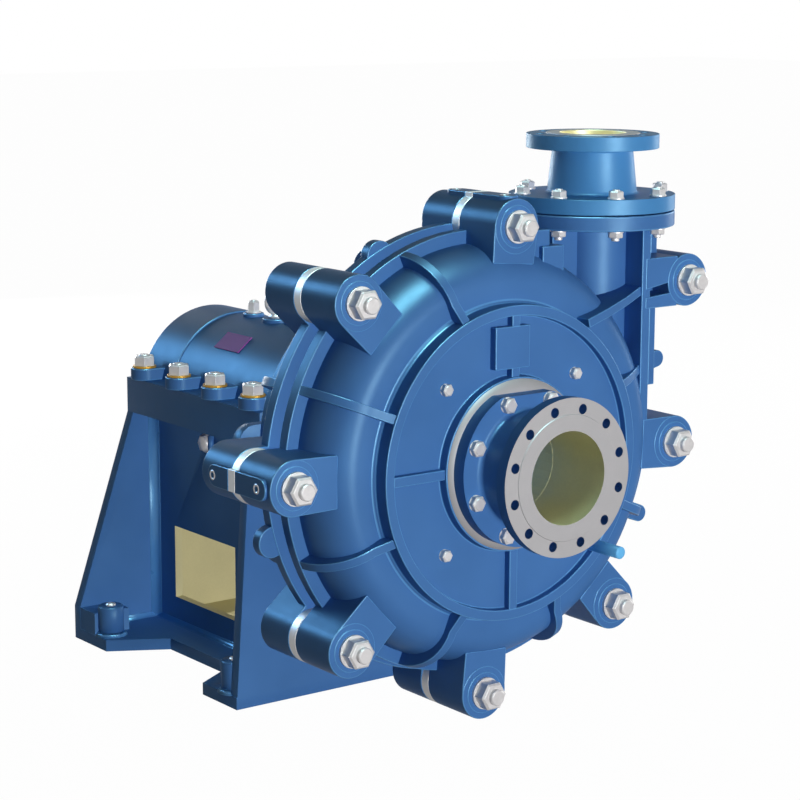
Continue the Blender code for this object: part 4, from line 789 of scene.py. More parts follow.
class PUMP_OT_front_casing(bpy.types.Operator):
    """Front casing half: disc, rim, bulge, flange, bosses, branch and ribs"""
    bl_idname = "pump.front_casing"
    bl_label = "Front casing"

    def execute(self, context):
        sizes = context.scene.pump_casing
        shape = Shape("casting blue")
        joint = MID_Y - sizes.joint_half
        rim_y, disc_y = MID_Y - sizes.rim_half, MID_Y - sizes.disc_half
        hub_y, shelf_y = MID_Y - sizes.hub_half, MID_Y - sizes.shelf_half
        bore, root = sizes.hub_radius * 0.66, 0.006
        shape.turn([
            (hub_y, bore), (hub_y, sizes.hub_radius), (disc_y, sizes.hub_radius + 0.002),
            (disc_y, sizes.disc_radius - 0.001), (rim_y, sizes.disc_radius), (rim_y, sizes.rim_radius),
            (shelf_y - root, sizes.rim_radius), (shelf_y, sizes.rim_radius + root), *bulge(sizes, -1),
            (joint - OVERLAP, sizes.foot_radius), (joint - OVERLAP, bore)], 160)
        add_flange(shape, sizes, -1, sizes.front_flange)
        self.disc_details(shape, sizes, rim_y, disc_y)
        self.branch(shape, sizes, joint)
        face = Shape("turned steel")
        face.ring(bore, sizes.hub_radius - sizes.soft_edge, hub_y - 0.0006, hub_y + OVERLAP, 160)
        seat(finished_half("front_casing_look", shape, sizes, -1, sizes.front_flange,
                           face.object("hub_face")), BASE, ["front_casing"])
        return {"FINISHED"}

    @staticmethod
    def disc_details(shape, sizes, rim_y, disc_y):
        """Four raised bars and the square pad, level with the rim."""
        half, deep = 0.011, disc_y + 0.005
        for degrees in (0, 90, 180, 270):
            shape.bar((sizes.hub_radius - OVERLAP, sizes.disc_radius + OVERLAP), (rim_y + 0.0002, deep),
                      (-half, half), turned_by(degrees))
        pad_x, pad_z, proud = (-0.057, 0.037), (0.208, 0.300), 0.0012
        shape.bar(pad_x, (rim_y - proud, deep), pad_z)

    @staticmethod
    def branch(shape, sizes, joint):
        """The side flange beside the pipe, the wall before it with its two ribs, and the small steps."""
        inner, half = joint - OVERLAP, 0.010
        wall_x, wall_y, wall_foot = (0.4134, 0.4384), (MID_Y - 0.135, MID_Y - 0.070), -0.06
        shape.bar(SIDE_PLATE, (MID_Y - sizes.flange_half - 0.020, joint), (SIDE_FOOT, BRANCH_TOP))
        shape.bar(wall_x, wall_y, (wall_foot, BRANCH_TOP))
        lean = Matrix(((1, 0, 0, 0), (0, 0, 1, 0), (0, -1, 0, 0), (0, 0, 0, 1)))
        for start, end, reaches in (
            ((0.207, 0.286), (0.416, 0.335), (0.192, 0.178, 0.158, 0.130)),
            ((0.312, 0.140), (0.416, 0.156), (0.190, 0.174, 0.152, 0.130)),
        ):
            across, rise = end[0] - start[0], end[1] - start[1]
            span, slope = math.hypot(across, rise), math.degrees(math.atan2(rise, across))
            front = [(span * i / 3, MID_Y - reach) for i, reach in enumerate(reaches)]
            shape.draw([*front, (span, inner), (0, inner)], -half, half,
                       turned_by(slope, (start[0], 0, start[1])) @ lean)
        step = 0.06
        for x, z, reach in ((0.135, 0.487, 0.105), (0.165, 0.452, 0.118)):
            shape.bar((x - step / 2, x + step / 2), (MID_Y - reach, inner), (z - step, z))


class PUMP_OT_rear_casing(bpy.types.Operator):
    """Rear casing half with its bosses, ribs, ears and the adapter ring"""
    bl_idname = "pump.rear_casing"
    bl_label = "Rear casing"

    def execute(self, context):
        sizes = context.scene.pump_casing
        shape = Shape("casting blue")
        joint = MID_Y + sizes.joint_half
        back, end = high("back_plate").y + 0.0253, high("rear_casing").y
        ring, wall, eye, ear_root, ear_thick = 0.330, 0.030, 0.20, 0.46, 0.028
        shape.turn([
            (joint + OVERLAP, eye), (joint + OVERLAP, sizes.foot_radius), *reversed(bulge(sizes, 1)),
            (back, sizes.shelf_radius - 0.006), (back, ring - OVERLAP), (back, eye)], 160)
        add_flange(shape, sizes, 1, sizes.rear_flange)
        shape.bar(SIDE_PLATE, (MID_Y - sizes.joint_half + 0.0005, MID_Y + 0.060), (SIDE_FOOT, BRANCH_TOP))
        for start, stop in ((back - OVERLAP, back + wall), (end - wall, end)):
            shape.ring(ring - wall, ring, start, stop, 128)
        for first, last in ((36.0, 144.0), (216.0, 324.0)):
            shape.draw(sweep(ring, first, last, 24) + sweep(ring - wall, last, first, 24), back,
                       end - OVERLAP)
        for degrees, reach, half in ((115.0, 0.487, 0.034), (196.5, 0.507, 0.034), (13.2, 0.622, 0.020),
                                     (338.0, 0.604, 0.020)):
            shape.draw(tab(half, reach, ear_root), joint + OVERLAP, joint + ear_thick, turned_by(degrees))
        seat(finished_half("rear_casing_look", shape, sizes, 1, sizes.rear_flange), BASE, ["rear_casing"])
        return {"FINISHED"}


class PUMP_OT_liner(bpy.types.Operator):
    """Volute liner with the discharge pipe and its lower plate"""
    bl_idname = "pump.liner"
    bl_label = "Volute liner"

    def execute(self, context):
        sizes = context.scene.pump_casing
        shape = Shape("casting blue", "gasket")
        wall, eye, curve_reach = 0.0226, 0.331, sizes.shelf_half - sizes.flange_half
        outer = []
        for side, curve in ((-1, bulge(sizes, -1)), (1, bulge(sizes, 1)[::-1])):
            seam = MID_Y + side * sizes.flange_half
            outer += [(seam + (y - seam) * (curve_reach - wall) / curve_reach, r - wall) for y, r in curve]
        inner = [(MID_Y + (y - MID_Y) * 0.80, r - 0.024) for y, r in reversed(outer)]
        shape.turn([(outer[0][0], eye), *outer, (outer[-1][0], eye), (inner[0][0], eye), *inner,
                    (inner[-1][0], eye)], 128, finish="gasket")
        foot, top, pipe, root = 0.18, GASKET_Z - GASKET_GAP, 0.086, 0.006
        under = top - PLATE_THICK
        shape.turn([(foot, PIPE_BORE), (foot, pipe), (under - root, pipe), (under, pipe + root),
                    (under, PLATE_RADIUS), (top, PLATE_RADIUS), (top, PIPE_BORE)], 96, upright(PIPE))
        lining = Shape("bare iron")
        lining.ring(PIPE_BORE - 0.0008, PIPE_BORE + OVERLAP / 4, foot, top - 0.001, 96, upright(PIPE))
        # The rounded edges take the lighter blue of a painted highlight.
        body = soften(shape.object("volute_liner_look"), width=sizes.soft_edge, edge="edge blue")
        piece = merged("volute_liner_look", body, lining.object("lining"))
        seat(piece, BASE, ["volute_liner"])
        return {"FINISHED"}


def flange_holes(count, radius, hole, start, end, transform=Matrix()):
    """Cutters for a ring of holes that straddles the upright line."""
    cutter = Shape("casting blue")
    for x, z in bolt_circle(radius, count):
        cutter.ring(0, hole, start, end, 24, transform @ Matrix.Translation((x, 0, z)))
    return cutter.object("holes")


class PUMP_OT_nozzle(bpy.types.Operator):
    """Suction nozzle with its drilled flange"""
    bl_idname = "pump.nozzle"
    bl_label = "Suction nozzle"

    def execute(self, context):
        end = high("suction_nozzle").y
        bore, flange, neck, base, root = 0.100, 0.170, 0.127, 0.173, (0.010, 0.012)
        face, raised, flange_y, base_y = 0.003, 0.0012, 0.030, end - NOZZLE_BASE
        bolt_radius, hole, flat = 0.1475, 0.011, 0.158
        shape = Shape("casting blue", "turned steel", "bare iron")
        shape.turn([
            (raised, bore), (raised, 0.134), (face, 0.1355), (face, flange), (flange_y, flange),
            *arc((flange_y + root[0], neck + root[1]), root, 180, 270, 5),
            *arc((base_y - root[0], neck + root[1]), root, 270, 360, 5),
            (base_y, base), (end, base), (end, bore)], 128)
        item = shape.object("suction_nozzle_look")
        carve(item, flange_holes(12, bolt_radius, hole, -0.01, flange_y + 0.01))
        cutter = Shape("casting blue")
        cutter.bar((-base - 0.027, base + 0.027), (base_y - 0.004, end + 0.01), (flat, base + 0.027))
        carve(item, cutter.object("flat"))
        soften(item, width=0.0016)
        self.finishes(item, flange, bore)
        seat(item, BASE, ["suction_nozzle"])
        return {"FINISHED"}

    @staticmethod
    def finishes(item, flange, bore):
        """Turned front face, bare bore, painted rest."""
        for face in item.data.polygons:
            place = face.center - ORIGIN
            radius = math.hypot(place.x, place.z)
            if place.y < 0.0045 and radius < flange - 0.0004 and face.normal.y < -0.5:
                face.material_index = 1
            elif radius < bore + 0.0006:
                face.material_index = 2


class PUMP_OT_discharge(bpy.types.Operator):
    """Discharge spool with its bolts, and the gasket's finish"""
    bl_idname = "pump.discharge"
    bl_label = "Discharge spool"

    def execute(self, context):
        base, top = low("discharge_spool").z, high("discharge_spool").z
        plate, under, face = base + PLATE_THICK, top - PLATE_THICK, top - 0.002
        flange, raised, low_neck, top_neck, low_root, top_root = 0.150, 0.107, 0.101, 0.092, 0.010, 0.008
        shape = Shape("spool blue", "turned steel upright", "bare iron")
        shape.turn([
            (base, PIPE_BORE), (base, PLATE_RADIUS), (plate, PLATE_RADIUS),
            *arc((plate + low_root, low_neck + low_root), (low_root, low_root), 180, 270, 5),
            *arc((under - top_root, top_neck + top_root), (top_root, top_root), 270, 360, 5),
            (under, flange), (face, flange), (face, raised), (top, raised - 0.001), (top, PIPE_BORE)],
            128, upright(PIPE))
        item = shape.object("discharge_spool_look")
        bolt_radius, hole = 0.125, 0.011
        carve(item, flange_holes(8, bolt_radius, hole, top - 0.05, top + 0.01, upright(PIPE)))
        soften(item, width=0.0018)
        for polygon in item.data.polygons:
            spot = polygon.center - ORIGIN - PIPE
            radius = math.hypot(spot.x, spot.y)
            if radius < PIPE_BORE + 0.0005:
                polygon.material_index = 2
            elif spot.z > top - 0.0015 and radius < raised:
                polygon.material_index = 1
        seat(item, BASE, ["discharge_spool"])
        self.bolts(context.scene.pump_fasteners.discharge_head, plate)
        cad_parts["discharge_gasket"].data.materials[0] = material("gasket")
        return {"FINISHED"}

    @staticmethod
    def bolts(head, upper):
        """Hex heads on the upper plate, nuts with their tips under the lower one."""
        under, washer = GASKET_Z - GASKET_GAP - PLATE_THICK, head * 0.62
        spots = [(PIPE.x + x, PIPE.y + y) for x, y in bolt_circle(0.164)]
        heads = fasteners("discharge_bolt_heads", [(*spot, upper) for spot in spots], "up", head,
                          height=0.015, washer=washer, washer_t=0.003, tip=head * 0.28, tip_length=0.002)
        nuts = fasteners("discharge_nuts", [(*spot, under) for spot in spots], "down", head,
                         height=0.012, washer=washer, washer_t=0.003, tip=0.009, tip_length=0.006)
        seat(merged("discharge_bolts", heads, nuts), BASE, ())


class PUMP_OT_studs(bpy.types.Operator):
    """Casing studs with nuts and washers, and the spacers between the bosses"""
    bl_idname = "pump.studs"
    bl_label = "Studs and spacers"

    def execute(self, context):
        sizes = context.scene.pump_fasteners
        places = [stud_place(name) for name in STUDS]
        nut, washer = 0.030, 0.007
        reach = STUD_OUT - nut - washer - sizes.stud * 0.11 - 0.001
        ends = []
        for name, side, pointing in (("stud_fronts", -1, "front"), ("stud_rears", 1, "rear")):
            rise = BOSS_HALF + SEAT_RISE + (FRONT_OUT if side < 0 else 0.0)
            spots = [(x, MID_Y + side * rise, z) for x, z in places]
            ends.append(fasteners(name, spots, pointing, sizes.nut, height=nut, washer=sizes.washer * 0.96,
                                  washer_t=washer, tip=sizes.stud, tip_length=reach))
        seat(merged("casing_studs", *ends), BASE, [f"stud_{name}" for name in STUDS])
        shape = Shape("ground steel")
        bore, radius, flat, half_flat = 0.020, 0.0598, 0.0648, 0.0238
        span = (MID_Y - 0.0119, MID_Y + 0.0119)
        for x, z in places:
            shape.ring(bore, radius, *span, 48, Matrix.Translation((x, 0, z)))
        x, z = stud_place("left")
        shape.bar((x - flat, x - 2 * bore), span, (z - half_flat, z + half_flat))
        x, z = stud_place("top")
        shape.bar((x - half_flat, x + half_flat), span, (z + 2 * bore, z + flat))
        item = soften(shape.object("spacers"), width=0.0012)
        seat(item, BASE, [f"shim_{name}" for name in STUDS])
        return {"FINISHED"}


class PUMP_OT_small_bolts(bpy.types.Operator):
    """Bolts of the nozzle's base and of the disc, and the drain rod"""
    bl_idname = "pump.small_bolts"
    bl_label = "Small bolts and rod"

    def execute(self, context):
        sizes = context.scene.pump_fasteners
        base_y = high("suction_nozzle").y - NOZZLE_BASE
        disc_y = MID_Y - context.scene.pump_casing.disc_half
        head, small = sizes.nozzle_head, sizes.small_head
        nozzle = fasteners("nozzle_bolts", [(x, base_y, z) for x, z in bolt_circle(0.153)], "front", head,
                           height=0.014, washer=head * 0.56, washer_t=0.002, tip=head * 0.44)
        disc = fasteners("disc_bolts", [(x, disc_y, z) for x, z in bolt_circle(0.252, 4)], "front", small,
                         height=0.013, washer=small * 0.55, washer_t=0.0015, tip=small * 0.44)
        seat(merged("front_bolts", nozzle, disc), BASE, ())
        rod = Shape("rod blue")
        centre = middle("drain_rod")
        rod.pin(0.0138, low("drain_rod").y - 0.015, high("drain_rod").y, 0.0015,
                Matrix.Translation((centre.x, 0, centre.z)))
        seat(rod.object("drain_rod_look"), BASE, ["drain_rod"])
        return {"FINISHED"}


class PUMP_OT_bearing_cap(bpy.types.Operator):
    """Bearing cap with its lugs and bosses, bolts, plugs and eye"""
    bl_idname = "pump.bearing_cap"
    bl_label = "Bearing cap"

    def execute(self, context):
        split = low("bearing_cap").z
        radius, rim, rim_length, boss_root = 0.199, 0.203, 0.138, 0.165
        lug, lug_root, lug_top = 0.034, 0.168, split + 0.030
        rim_y = PEDESTAL_END - rim_length
        shape = Shape("casting blue")
        self.shell(shape, split, low("bearing_cap").y, rim_y + OVERLAP, radius)
        self.shell(shape, split, rim_y, PEDESTAL_END, rim)
        names = [f"cap_bolt_{i + 1}" for i in range(8)]
        bolts = [middle(name) for name in names]
        for spot in bolts:
            lean = Matrix(((math.copysign(1.0, spot.x), 0, 0, 0), (0, 0, 1, spot.y), (0, 1, 0, 0),
                           (0, 0, 0, 1)))
            shape.draw(tab(lug, abs(spot.x), lug_root), split, lug_top, lean)
        for name, boss in (("filler_plug", 0.026), ("eye_bolt", 0.036), ("vent_plug", 0.018)):
            spot = middle(name)
            shape.ring(0, boss, boss_root, radius + 0.008, 40, upright((spot.x, spot.y, 0)))
        # The rounded edges take the lighter blue of a painted highlight.
        item = soften(shape.object("bearing_cap_look"), width=0.003, edge="edge blue")
        seat(item, BASE, ["bearing_cap"])
        head = context.scene.pump_fasteners.cap_head
        item = fasteners("cap_bolts", [(s.x, s.y, lug_top) for s in bolts], "up", head, height=0.025,
                         washer=head * 0.62, washer_t=0.005, tip=head * 0.30, tip_length=0.001,
                         washer_finish="passivated yellow")
        seat(item, BASE, names)
        self.plugs()
        return {"FINISHED"}

    @staticmethod
    def shell(shape, split, start, end, radius):
        """A piece of the half-round cap, open below."""
        inner = radius - 0.034
        first, inner_first = (math.degrees(math.asin(split / r)) for r in (radius, inner))
        shape.draw(sweep(radius, first, 180.0 - first, 48)
                   + sweep(inner, 180.0 - inner_first, inner_first, 48), start, end)

    @staticmethod
    def plugs():
        """Filler and vent plugs with the lifting eye."""
        crown = low("filler_plug").z + 0.018
        filler, vent, eye = middle("filler_plug"), middle("vent_plug"), middle("eye_bolt")
        hexes = fasteners("plug_hexes", [(filler.x, filler.y, crown)], "up", 0.027, height=0.026,
                          washer=0.019, washer_t=0.003, tip=0.009, tip_length=0.0005)
        seat(hexes, BASE, ["filler_plug"])
        plug = Shape("zinc plate")
        plug.pin(0.011, crown, crown + 0.012, 0.002, upright((vent.x, vent.y, 0)))
        seat(plug.object("vent_plug_look"), BASE, ["vent_plug"])
        shape = Shape("zinc plate")
        radius, wire, foot, neck, lift = 0.028, 0.008, 0.022, 0.012, 0.0405
        shape.turn(arc((0, radius), (wire, wire), 0, 330, 11), 48,
                   Matrix.Translation((eye.x, eye.y, crown + lift)))
        shape.turn([(crown, 0), (crown, foot), (crown + 0.006, foot), (crown + 0.010, neck),
                    (crown + 0.014, neck - 0.002), (crown + 0.014, 0)], 32, upright((eye.x, eye.y, 0)))
        seat(shape.object("eye_bolt_look"), BASE, ["eye_bolt"])


class PUMP_OT_pedestal(bpy.types.Operator):
    """Pedestal, painted outside and bare inside, with its level plug"""
    bl_idname = "pump.pedestal"
    bl_label = "Pedestal"

    def execute(self, context):
        item = placed("pedestal_look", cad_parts["pedestal"].data.copy())
        bm = bmesh.new()
        bm.from_mesh(item.data)
        bmesh.ops.remove_doubles(bm, verts=bm.verts, dist=1e-5)
        bmesh.ops.dissolve_limit(bm, angle_limit=math.radians(1.0), verts=bm.verts, edges=bm.edges)
        for face in bm.faces:
            face.smooth = True
        bm.to_mesh(item.data)
        bm.free()
        item.data.materials.clear()
        for finish in ("casting blue", "pale iron"):
            item.data.materials.append(material(finish))
        self.trim(item)
        # The rounded edges take the lighter blue of a painted highlight.
        soften(item, width=0.004, edge="edge blue")
        plate, ceiling = REAR_PLATE - 0.001, -0.199
        for face in item.data.polygons:
            spot = face.center - ORIGIN
            window = abs(face.normal.x) < 0.3 and spot.z > FLOOR_Z + 0.030
            depth = WALL_X + 0.001 if window else WALL_X - 0.0195
            hollow = abs(spot.x) < depth and PEDESTAL_Y + plate < spot.y < PEDESTAL_END - plate
            if hollow and spot.z < ceiling:
                face.material_index = 1
        ledge = Shape("pale iron")
        rear, under = PEDESTAL_END - REAR_PLATE, FLOOR_Z + 0.001
        half, depth, top = 0.150, 0.110, 0.034
        ledge.bar((-half, half), (rear - depth, rear + OVERLAP), (under, FLOOR_Z + top))
        edge_x, edge_length, edge_top = (0.130, 0.166), 0.560, 0.044
        ledge.bar(edge_x, (rear - edge_length, rear), (under, FLOOR_Z + edge_top))
        ledge = soften(ledge.object("ledge"), width=0.006, segments=3)
        seat(merged("pedestal_look", item, ledge, self.fillets(), self.posts()), BASE, ["pedestal"])
        self.level_plug()
        return {"FINISHED"}

    @staticmethod
    def trim(item):
        """Rounds the front plate's upper corners and takes the solids' front posts away."""
        cutter = Shape("casting blue")
        top, radius, past, post, post_top = high("pedestal").z, 0.046, 0.01, 0.0325, 0.096
        outer, centre = CORNER_X + past, (CORNER_X - radius, top - radius)
        outline = [(outer, centre[1]), *arc(centre, (radius, radius), 0, 90),
                   (centre[0], top + past), (outer, top + past)]
        for side in (-1, 1):
            cutter.draw([(side * x, z) for x, z in outline], PEDESTAL_Y - past, PEDESTAL_Y + 0.029)
            cutter.ring(0, post, FLOOR_Z + FOOT + 0.0004, FLOOR_Z + post_top, 32,
                        upright((side * POST_X, PEDESTAL_Y + POST_IN, 0)))
        carve(item, cutter.object("trim"))

    @staticmethod
    def fillets():
        """Hollow roundings where the side walls meet the rear plate and the feet, in the lighter blue of a
        painted highlight.
        """
        shape = Shape("edge blue")
        rear, foot, sunk, foot_end = PEDESTAL_END - REAR_PLATE, FLOOR_Z + FOOT, 0.001, 0.312
        large, small = (
            [(sunk, sunk), (-radius, sunk), *arc((-radius, -radius), (radius, radius), 90, 0, 8),
             (sunk, -radius)] for radius in (0.020, 0.011))
        for side in (-1, 1):
            flip = Matrix.Diagonal((-side, 1, 1, 1))
            shape.draw([(x - WALL_X, -(y + rear)) for x, y in large], foot - OVERLAP,
                       -BLOCK_DROP + OVERLAP, flip @ upright((0, 0, 0)))
            shape.draw([(y + rear, foot - x) for y, x in small], WALL_X, foot_end,
                       flip @ along_x((0, 0, 0)))
            shape.draw([(x - WALL_X, foot - y) for x, y in small], PEDESTAL_Y + 0.026, rear, flip)
        return shape.object("fillets")

    @staticmethod
    def posts():
        """Round bolt posts with bright plugs, fillings for the old posts' holes, and a bar by the plug; the
        posts' root fillets are in the lighter blue of a painted highlight.
        """
        shape = Shape("casting blue", "zinc plate", "edge blue")
        foot, top, front_in, rear_in = FLOOR_Z + FOOT - 0.001, FLOOR_Z + 0.102, 0.053, 0.112
        radius, root, chamfer, plug, filling = 0.0318, 0.009, 0.003, 0.0125, 0.0146
        for x in (-POST_X, POST_X):
            for y in (PEDESTAL_Y + front_in, PEDESTAL_END - rear_in):
                place = upright((x, y, 0))
                shape.turn([(foot, 0), (foot, radius), (top - chamfer, radius), (top, radius - chamfer),
                            (top, 0)], 48, place)
                shape.turn([(foot, radius - 0.001), (foot, radius + root),
                            *arc((foot + root + 0.001, radius + root), (root, root), 270, 180, 5),
                            (foot + root + chamfer, radius - 0.001)], 48, place, "edge blue")
                shape.turn([(top - 0.001, 0), (top - 0.001, plug), (top + 0.003, plug),
                            (top + 0.006, 0.008), (top + 0.0066, 0)], 32, place, "zinc plate")
            shape.ring(0, filling, FLOOR_Z + 0.001, FLOOR_Z + FOOT - 0.0002, 24,
                       upright((x, PEDESTAL_Y + POST_IN, 0)))
        spot = middle("level_plug")
        shape.bar((-0.195, -0.180), (spot.y - 0.034, spot.y - 0.026), (spot.z - 0.022, spot.z + 0.024))
        return shape.object("posts")

    @staticmethod
    def level_plug():
        """A washer and a flat hexagon with a chamfer."""
        spot = middle("level_plug")
        place = along_x((0, spot.y, spot.z))
        shape = Shape("zinc plate")
        washer, face, corner = WALL_X + 0.004, WALL_X + 0.0135, 0.0215
        shape.ring(0, 0.0235, WALL_X, washer, 32, place)
        shape.turn([(washer, 0), (washer, corner), (washer + 0.007, corner), (face, 0.018), (face, 0)], 6,
                   place)
        seat(shape.object("level_plug_look"), BASE, ["level_plug"])


def profile(node):
    """The (y, radius) corners of a turned node, read below its axis."""
    spots = [vertex.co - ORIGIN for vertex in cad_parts[node].data.vertices]
    return sorted({(round(spot.y, 5), round(math.hypot(spot.x, spot.z), 5)) for spot in spots if spot.z < 0})


class PUMP_OT_turned_pieces(bpy.types.Operator):
    """Shaft, bearing covers, gland, sleeve and slinger, truly round"""
    bl_idname = "pump.turned_pieces"
    bl_label = "Turned pieces"

    def execute(self, context):
        self.shaft()
        self.covers(context.scene.pump_fasteners.small_head)
        for node, body in (("shaft_sleeve", ROTOR), ("slinger", ROTOR), ("gland", BASE)):
            corners = profile(node)
            inner, outer = min(r for _, r in corners), max(r for _, r in corners)
            start, end = corners[0][0], corners[-1][0]
            shape = Shape("turned steel")
            shape.ring(inner, outer, start, end)
            seat(soften(shape.object(f"{node}_look"), width=0.0012), body, [node])
        return {"FINISHED"}

    @staticmethod
    def shaft():
        """The stepped shaft with its keyway."""
        line = []
        for y, r in profile("shaft"):
            before = line[-2][1] if len(line) > 1 else 0.0
            if line and y == line[-1][0] and abs(before - r) < abs(before - line[-1][1]):
                line.insert(-1, (y, r))
            else:
                line.append((y, r))
        shape = Shape("turned steel")
        shape.turn([(line[0][0], 0), *line, (line[-1][0], 0)], 96)
        item = shape.object("shaft_look")
        near, far = low("coupling_key") - KEY_GAP, high("coupling_key") + KEY_GAP
        slot = Shape("turned steel")
        slot.bar((near.x, far.x), (near.y, far.y), (near.z, far.z + 0.01))
        seat(soften(carve(item, slot.object("slot")), width=0.0012), ROTOR, ["shaft"])

    @staticmethod
    def covers(head):
        """Bearing covers with a screwed rim; the drive end's has a raised neck."""
        for node, away, dome, pointing in (("front_bearing_cover", -1, 0, "front"),
                                           ("rear_bearing_cover", 1, 0.018, "rear")):
            corners = [(y * away, r) for y, r in profile(node)]
            radii = [r for _, r in corners]
            rim, bore = max(radii), min(radii)
            near = min(y for y, r in corners if r == rim)
            spigot, top = min(corners)[0], max(corners)[0]
            face = top - dome
            inner = max(r for y, r in corners if y == spigot)
            neck = [(face, 0.116), (face + 0.012, 0.107), (top, 0.098)] if dome else []
            outline = [(spigot, bore), (spigot, inner), (near, inner), (near, rim), (face, rim), *neck,
                       (top, bore)]
            shape = Shape("dark steel")
            shape.turn([(y * away, r) for y, r in outline], 128)
            item = soften(shape.object(f"{node}_look"), width=0.002)
            screws = fasteners("cover_screws", [(x, face * away, z) for x, z in bolt_circle(0.142)],
                               pointing, head, height=0.012, washer=head * 0.55, washer_t=0.002,
                               tip=head * 0.42)
            seat(merged(f"{node}_look", item, screws), BASE, [node])


class PUMP_OT_metalwork(bpy.types.Operator):
    """Finishes of the pieces that keep the part's own shape"""
    bl_idname = "pump.metalwork"
    bl_label = "Metalwork"

    def execute(self, context):
        finishes = {
            "turned steel": ("front_bearing_outer_ring", "rear_bearing_outer_ring",
                             "front_bearing_inner_ring", "rear_bearing_inner_ring"),
            "brass cage": ("front_bearing_rollers", "rear_bearing_rollers"),
            "dark steel": ("coupling_key",),
            "wear iron": ("impeller", "expeller", "back_plate"),
            "bare iron": ("throat_bush",),
            "casting blue": ("seal_housing",),
            "plate purple": ("name_plate",),
        }
        for finish, nodes in finishes.items():
            for node in nodes:
                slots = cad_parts[node].data.materials
                slots.clear()
                slots.append(material(finish))
        return {"FINISHED"}


LAMP_TARGET = (0.0, 0.0, 0.55)


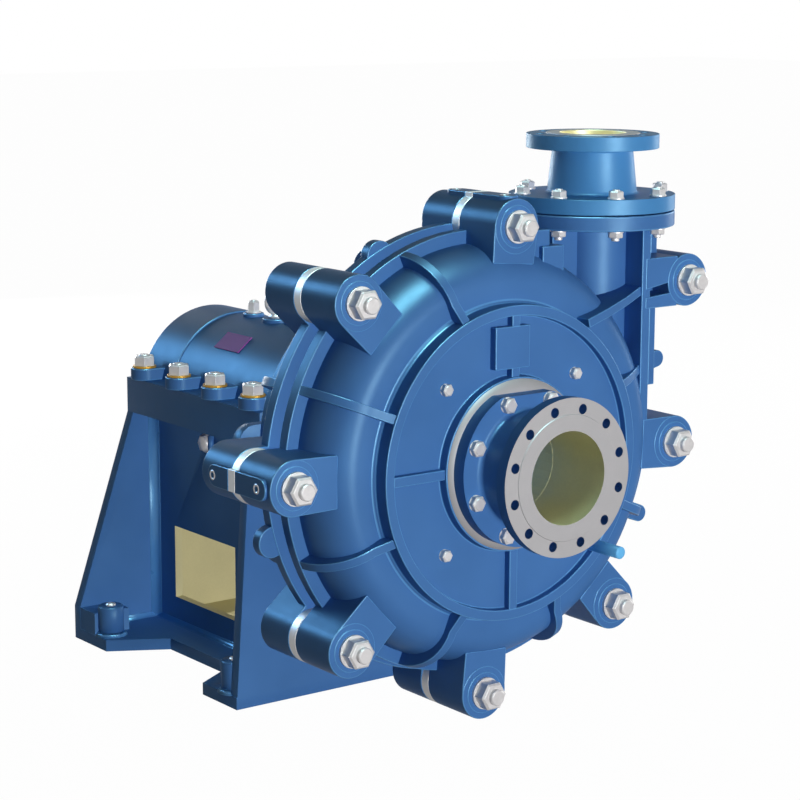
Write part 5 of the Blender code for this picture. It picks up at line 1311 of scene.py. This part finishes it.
class PUMP_OT_stage(bpy.types.Operator):
    """Pale floor, soft studio light, world and camera"""
    bl_idname = "pump.stage"
    bl_label = "Stage"

    def execute(self, context):
        sizes = context.scene.pump_stage
        self.floor(sizes)
        self.world(context.scene, sizes)
        front = self.lamp("front", (0.1, -6.2, 0.3), 2.4, 255.0)
        front.use_shadow = False
        self.lamp("rear", (1.2, 6.2, 0.8), 3.0, 250.0)
        self.lamp("right", (6.2, 0.6, 1.0), 3.0, 110.0)
        self.lamp("upper glint", (-0.8, -1.4, 4.7), 2.4, 620.0, (0.55, 0.98, 1.0))
        self.lamp("left glint", (-2.9, -5.0, 0.2), 2.4, 36.0, (0.6, 0.9, 1.0))
        self.lamp("rear glint", (-2.6, 4.9, 2.8), 2.2, 360.0, (0.30, 0.60, 1.0))
        self.camera(context.scene)
        context.scene.view_settings.view_transform = "Standard"
        return {"FINISHED"}

    @staticmethod
    def seen(tree):
        """How much of the white surroundings a ray meets: all for the camera's, less for a reflection's."""
        path = tree.node("ShaderNodeLightPath").socket.node.outputs
        camera, reflected, passed = (Value(tree, path[name]) for name in
                                     ("Is Camera Ray", "Is Glossy Ray", "Is Transmission Ray"))
        return camera.maths("MAXIMUM", camera.maths("MAXIMUM", camera, passed), reflected * 0.62)

    @staticmethod
    def floor(sizes):
        mesh = bpy.data.meshes.new("floor")
        half, drop = sizes.floor / 2, 0.0005
        mesh.from_pydata([(x * half, y * half, -drop) for x, y in ((-1, -1), (1, -1), (1, 1), (-1, 1))],
                         [], [(0, 1, 2, 3)])
        made = bpy.data.materials.new("pale floor")
        tree = Tree(made)
        seen = PUMP_OT_stage.seen(tree)
        matt = tree.node("ShaderNodeBsdfDiffuse", {}, {"Color": (0.42, 0.42, 0.42, 1.0)})
        glow = tree.node("ShaderNodeEmission", {}, {"Color": (*sizes.backdrop, 1.0), "Strength": 1.035})
        tree.show(tree.node("ShaderNodeMixShader", {}, {0: seen * 0.95, 1: matt, 2: glow}))
        mesh.materials.append(made)
        placed("floor", mesh)

    @staticmethod
    def world(scene, sizes):
        scene.world = scene.world or bpy.data.worlds.new("studio")
        tree = Tree(scene.world)
        strength = PUMP_OT_stage.seen(tree) * (1.0 - sizes.ambient) + sizes.ambient
        back = tree.node("ShaderNodeBackground", {}, {"Color": (*sizes.backdrop, 1.0), "Strength": strength})
        tree.show(back, "ShaderNodeOutputWorld")

    @staticmethod
    def lamp(name, offset, size, power, glint=None):
        """A round soft lamp; one with a glint colour shows only as a highlight on the finishes."""
        light = bpy.data.lights.new(name, "AREA")
        light.shape, light.size, light.energy = "DISK", size, power
        item = placed(name, light)
        if glint:
            light.color = glint
            item.visible_diffuse = False
        item.location = Vector(LAMP_TARGET) + Vector(offset)
        item.rotation_euler = (-Vector(offset)).to_track_quat("-Z", "Y").to_euler()
        return light

    @staticmethod
    def camera(scene):
        """Where the photograph was taken from, set by the suction face's centre."""
        azimuth, elevation, roll = math.radians(-36.80), math.radians(10.52), math.radians(0.17)
        offset = Vector((0.3520, -0.1635, -4.7871))
        back = Vector((math.sin(azimuth) * math.cos(elevation), -math.cos(azimuth) * math.cos(elevation),
                       math.sin(elevation)))
        flat = Vector((math.cos(azimuth), math.sin(azimuth), 0))
        lift = back.cross(flat)
        right = flat * math.cos(roll) + lift * math.sin(roll)
        up = lift * math.cos(roll) - flat * math.sin(roll)
        turn = Matrix((right, up, back)).transposed()
        lens = bpy.data.cameras.new("camera")
        lens.sensor_width, lens.sensor_fit, lens.lens = 36.0, "HORIZONTAL", 103.33
        scene.camera = placed("camera", lens)
        scene.camera.matrix_world = Matrix.Translation(ORIGIN - turn @ offset) @ turn.to_4x4()


class PUMP_PT_panel(bpy.types.Panel):
    bl_label = "Slurry Pump"
    bl_idname = "PUMP_PT_panel"
    bl_space_type = "VIEW_3D"
    bl_region_type = "UI"
    bl_category = "Pump"

    def draw(self, context):
        for operator in OPERATORS:
            self.layout.operator(operator.bl_idname)
        for group in (context.scene.pump_finish, context.scene.pump_casing, context.scene.pump_fasteners,
                      context.scene.pump_stage):
            box = self.layout.box()
            for key in group.bl_rna.properties.keys():
                if key not in ("rna_type", "name"):
                    box.prop(group, key)


GROUPS = {"pump_finish": PumpFinish, "pump_casing": CasingSizes, "pump_fasteners": FastenerSizes,
          "pump_stage": StageSizes}
OPERATORS = (PUMP_OT_front_casing, PUMP_OT_rear_casing, PUMP_OT_liner, PUMP_OT_nozzle, PUMP_OT_discharge,
             PUMP_OT_studs, PUMP_OT_small_bolts, PUMP_OT_bearing_cap, PUMP_OT_pedestal,
             PUMP_OT_turned_pieces, PUMP_OT_metalwork, PUMP_OT_stage)
CLASSES = (*GROUPS.values(), *OPERATORS, PUMP_PT_panel)


def register():
    for item in CLASSES:
        bpy.utils.register_class(item)
    for name, group in GROUPS.items():
        setattr(bpy.types.Scene, name, bpy.props.PointerProperty(type=group))


def unregister():
    for name in GROUPS:
        delattr(bpy.types.Scene, name)
    for item in reversed(CLASSES):
        bpy.utils.unregister_class(item)


def main():
    register()
    for operator in OPERATORS:
        group, name = operator.bl_idname.split(".")
        getattr(getattr(bpy.ops, group), name)()


if __name__ == "__main__":
    main()
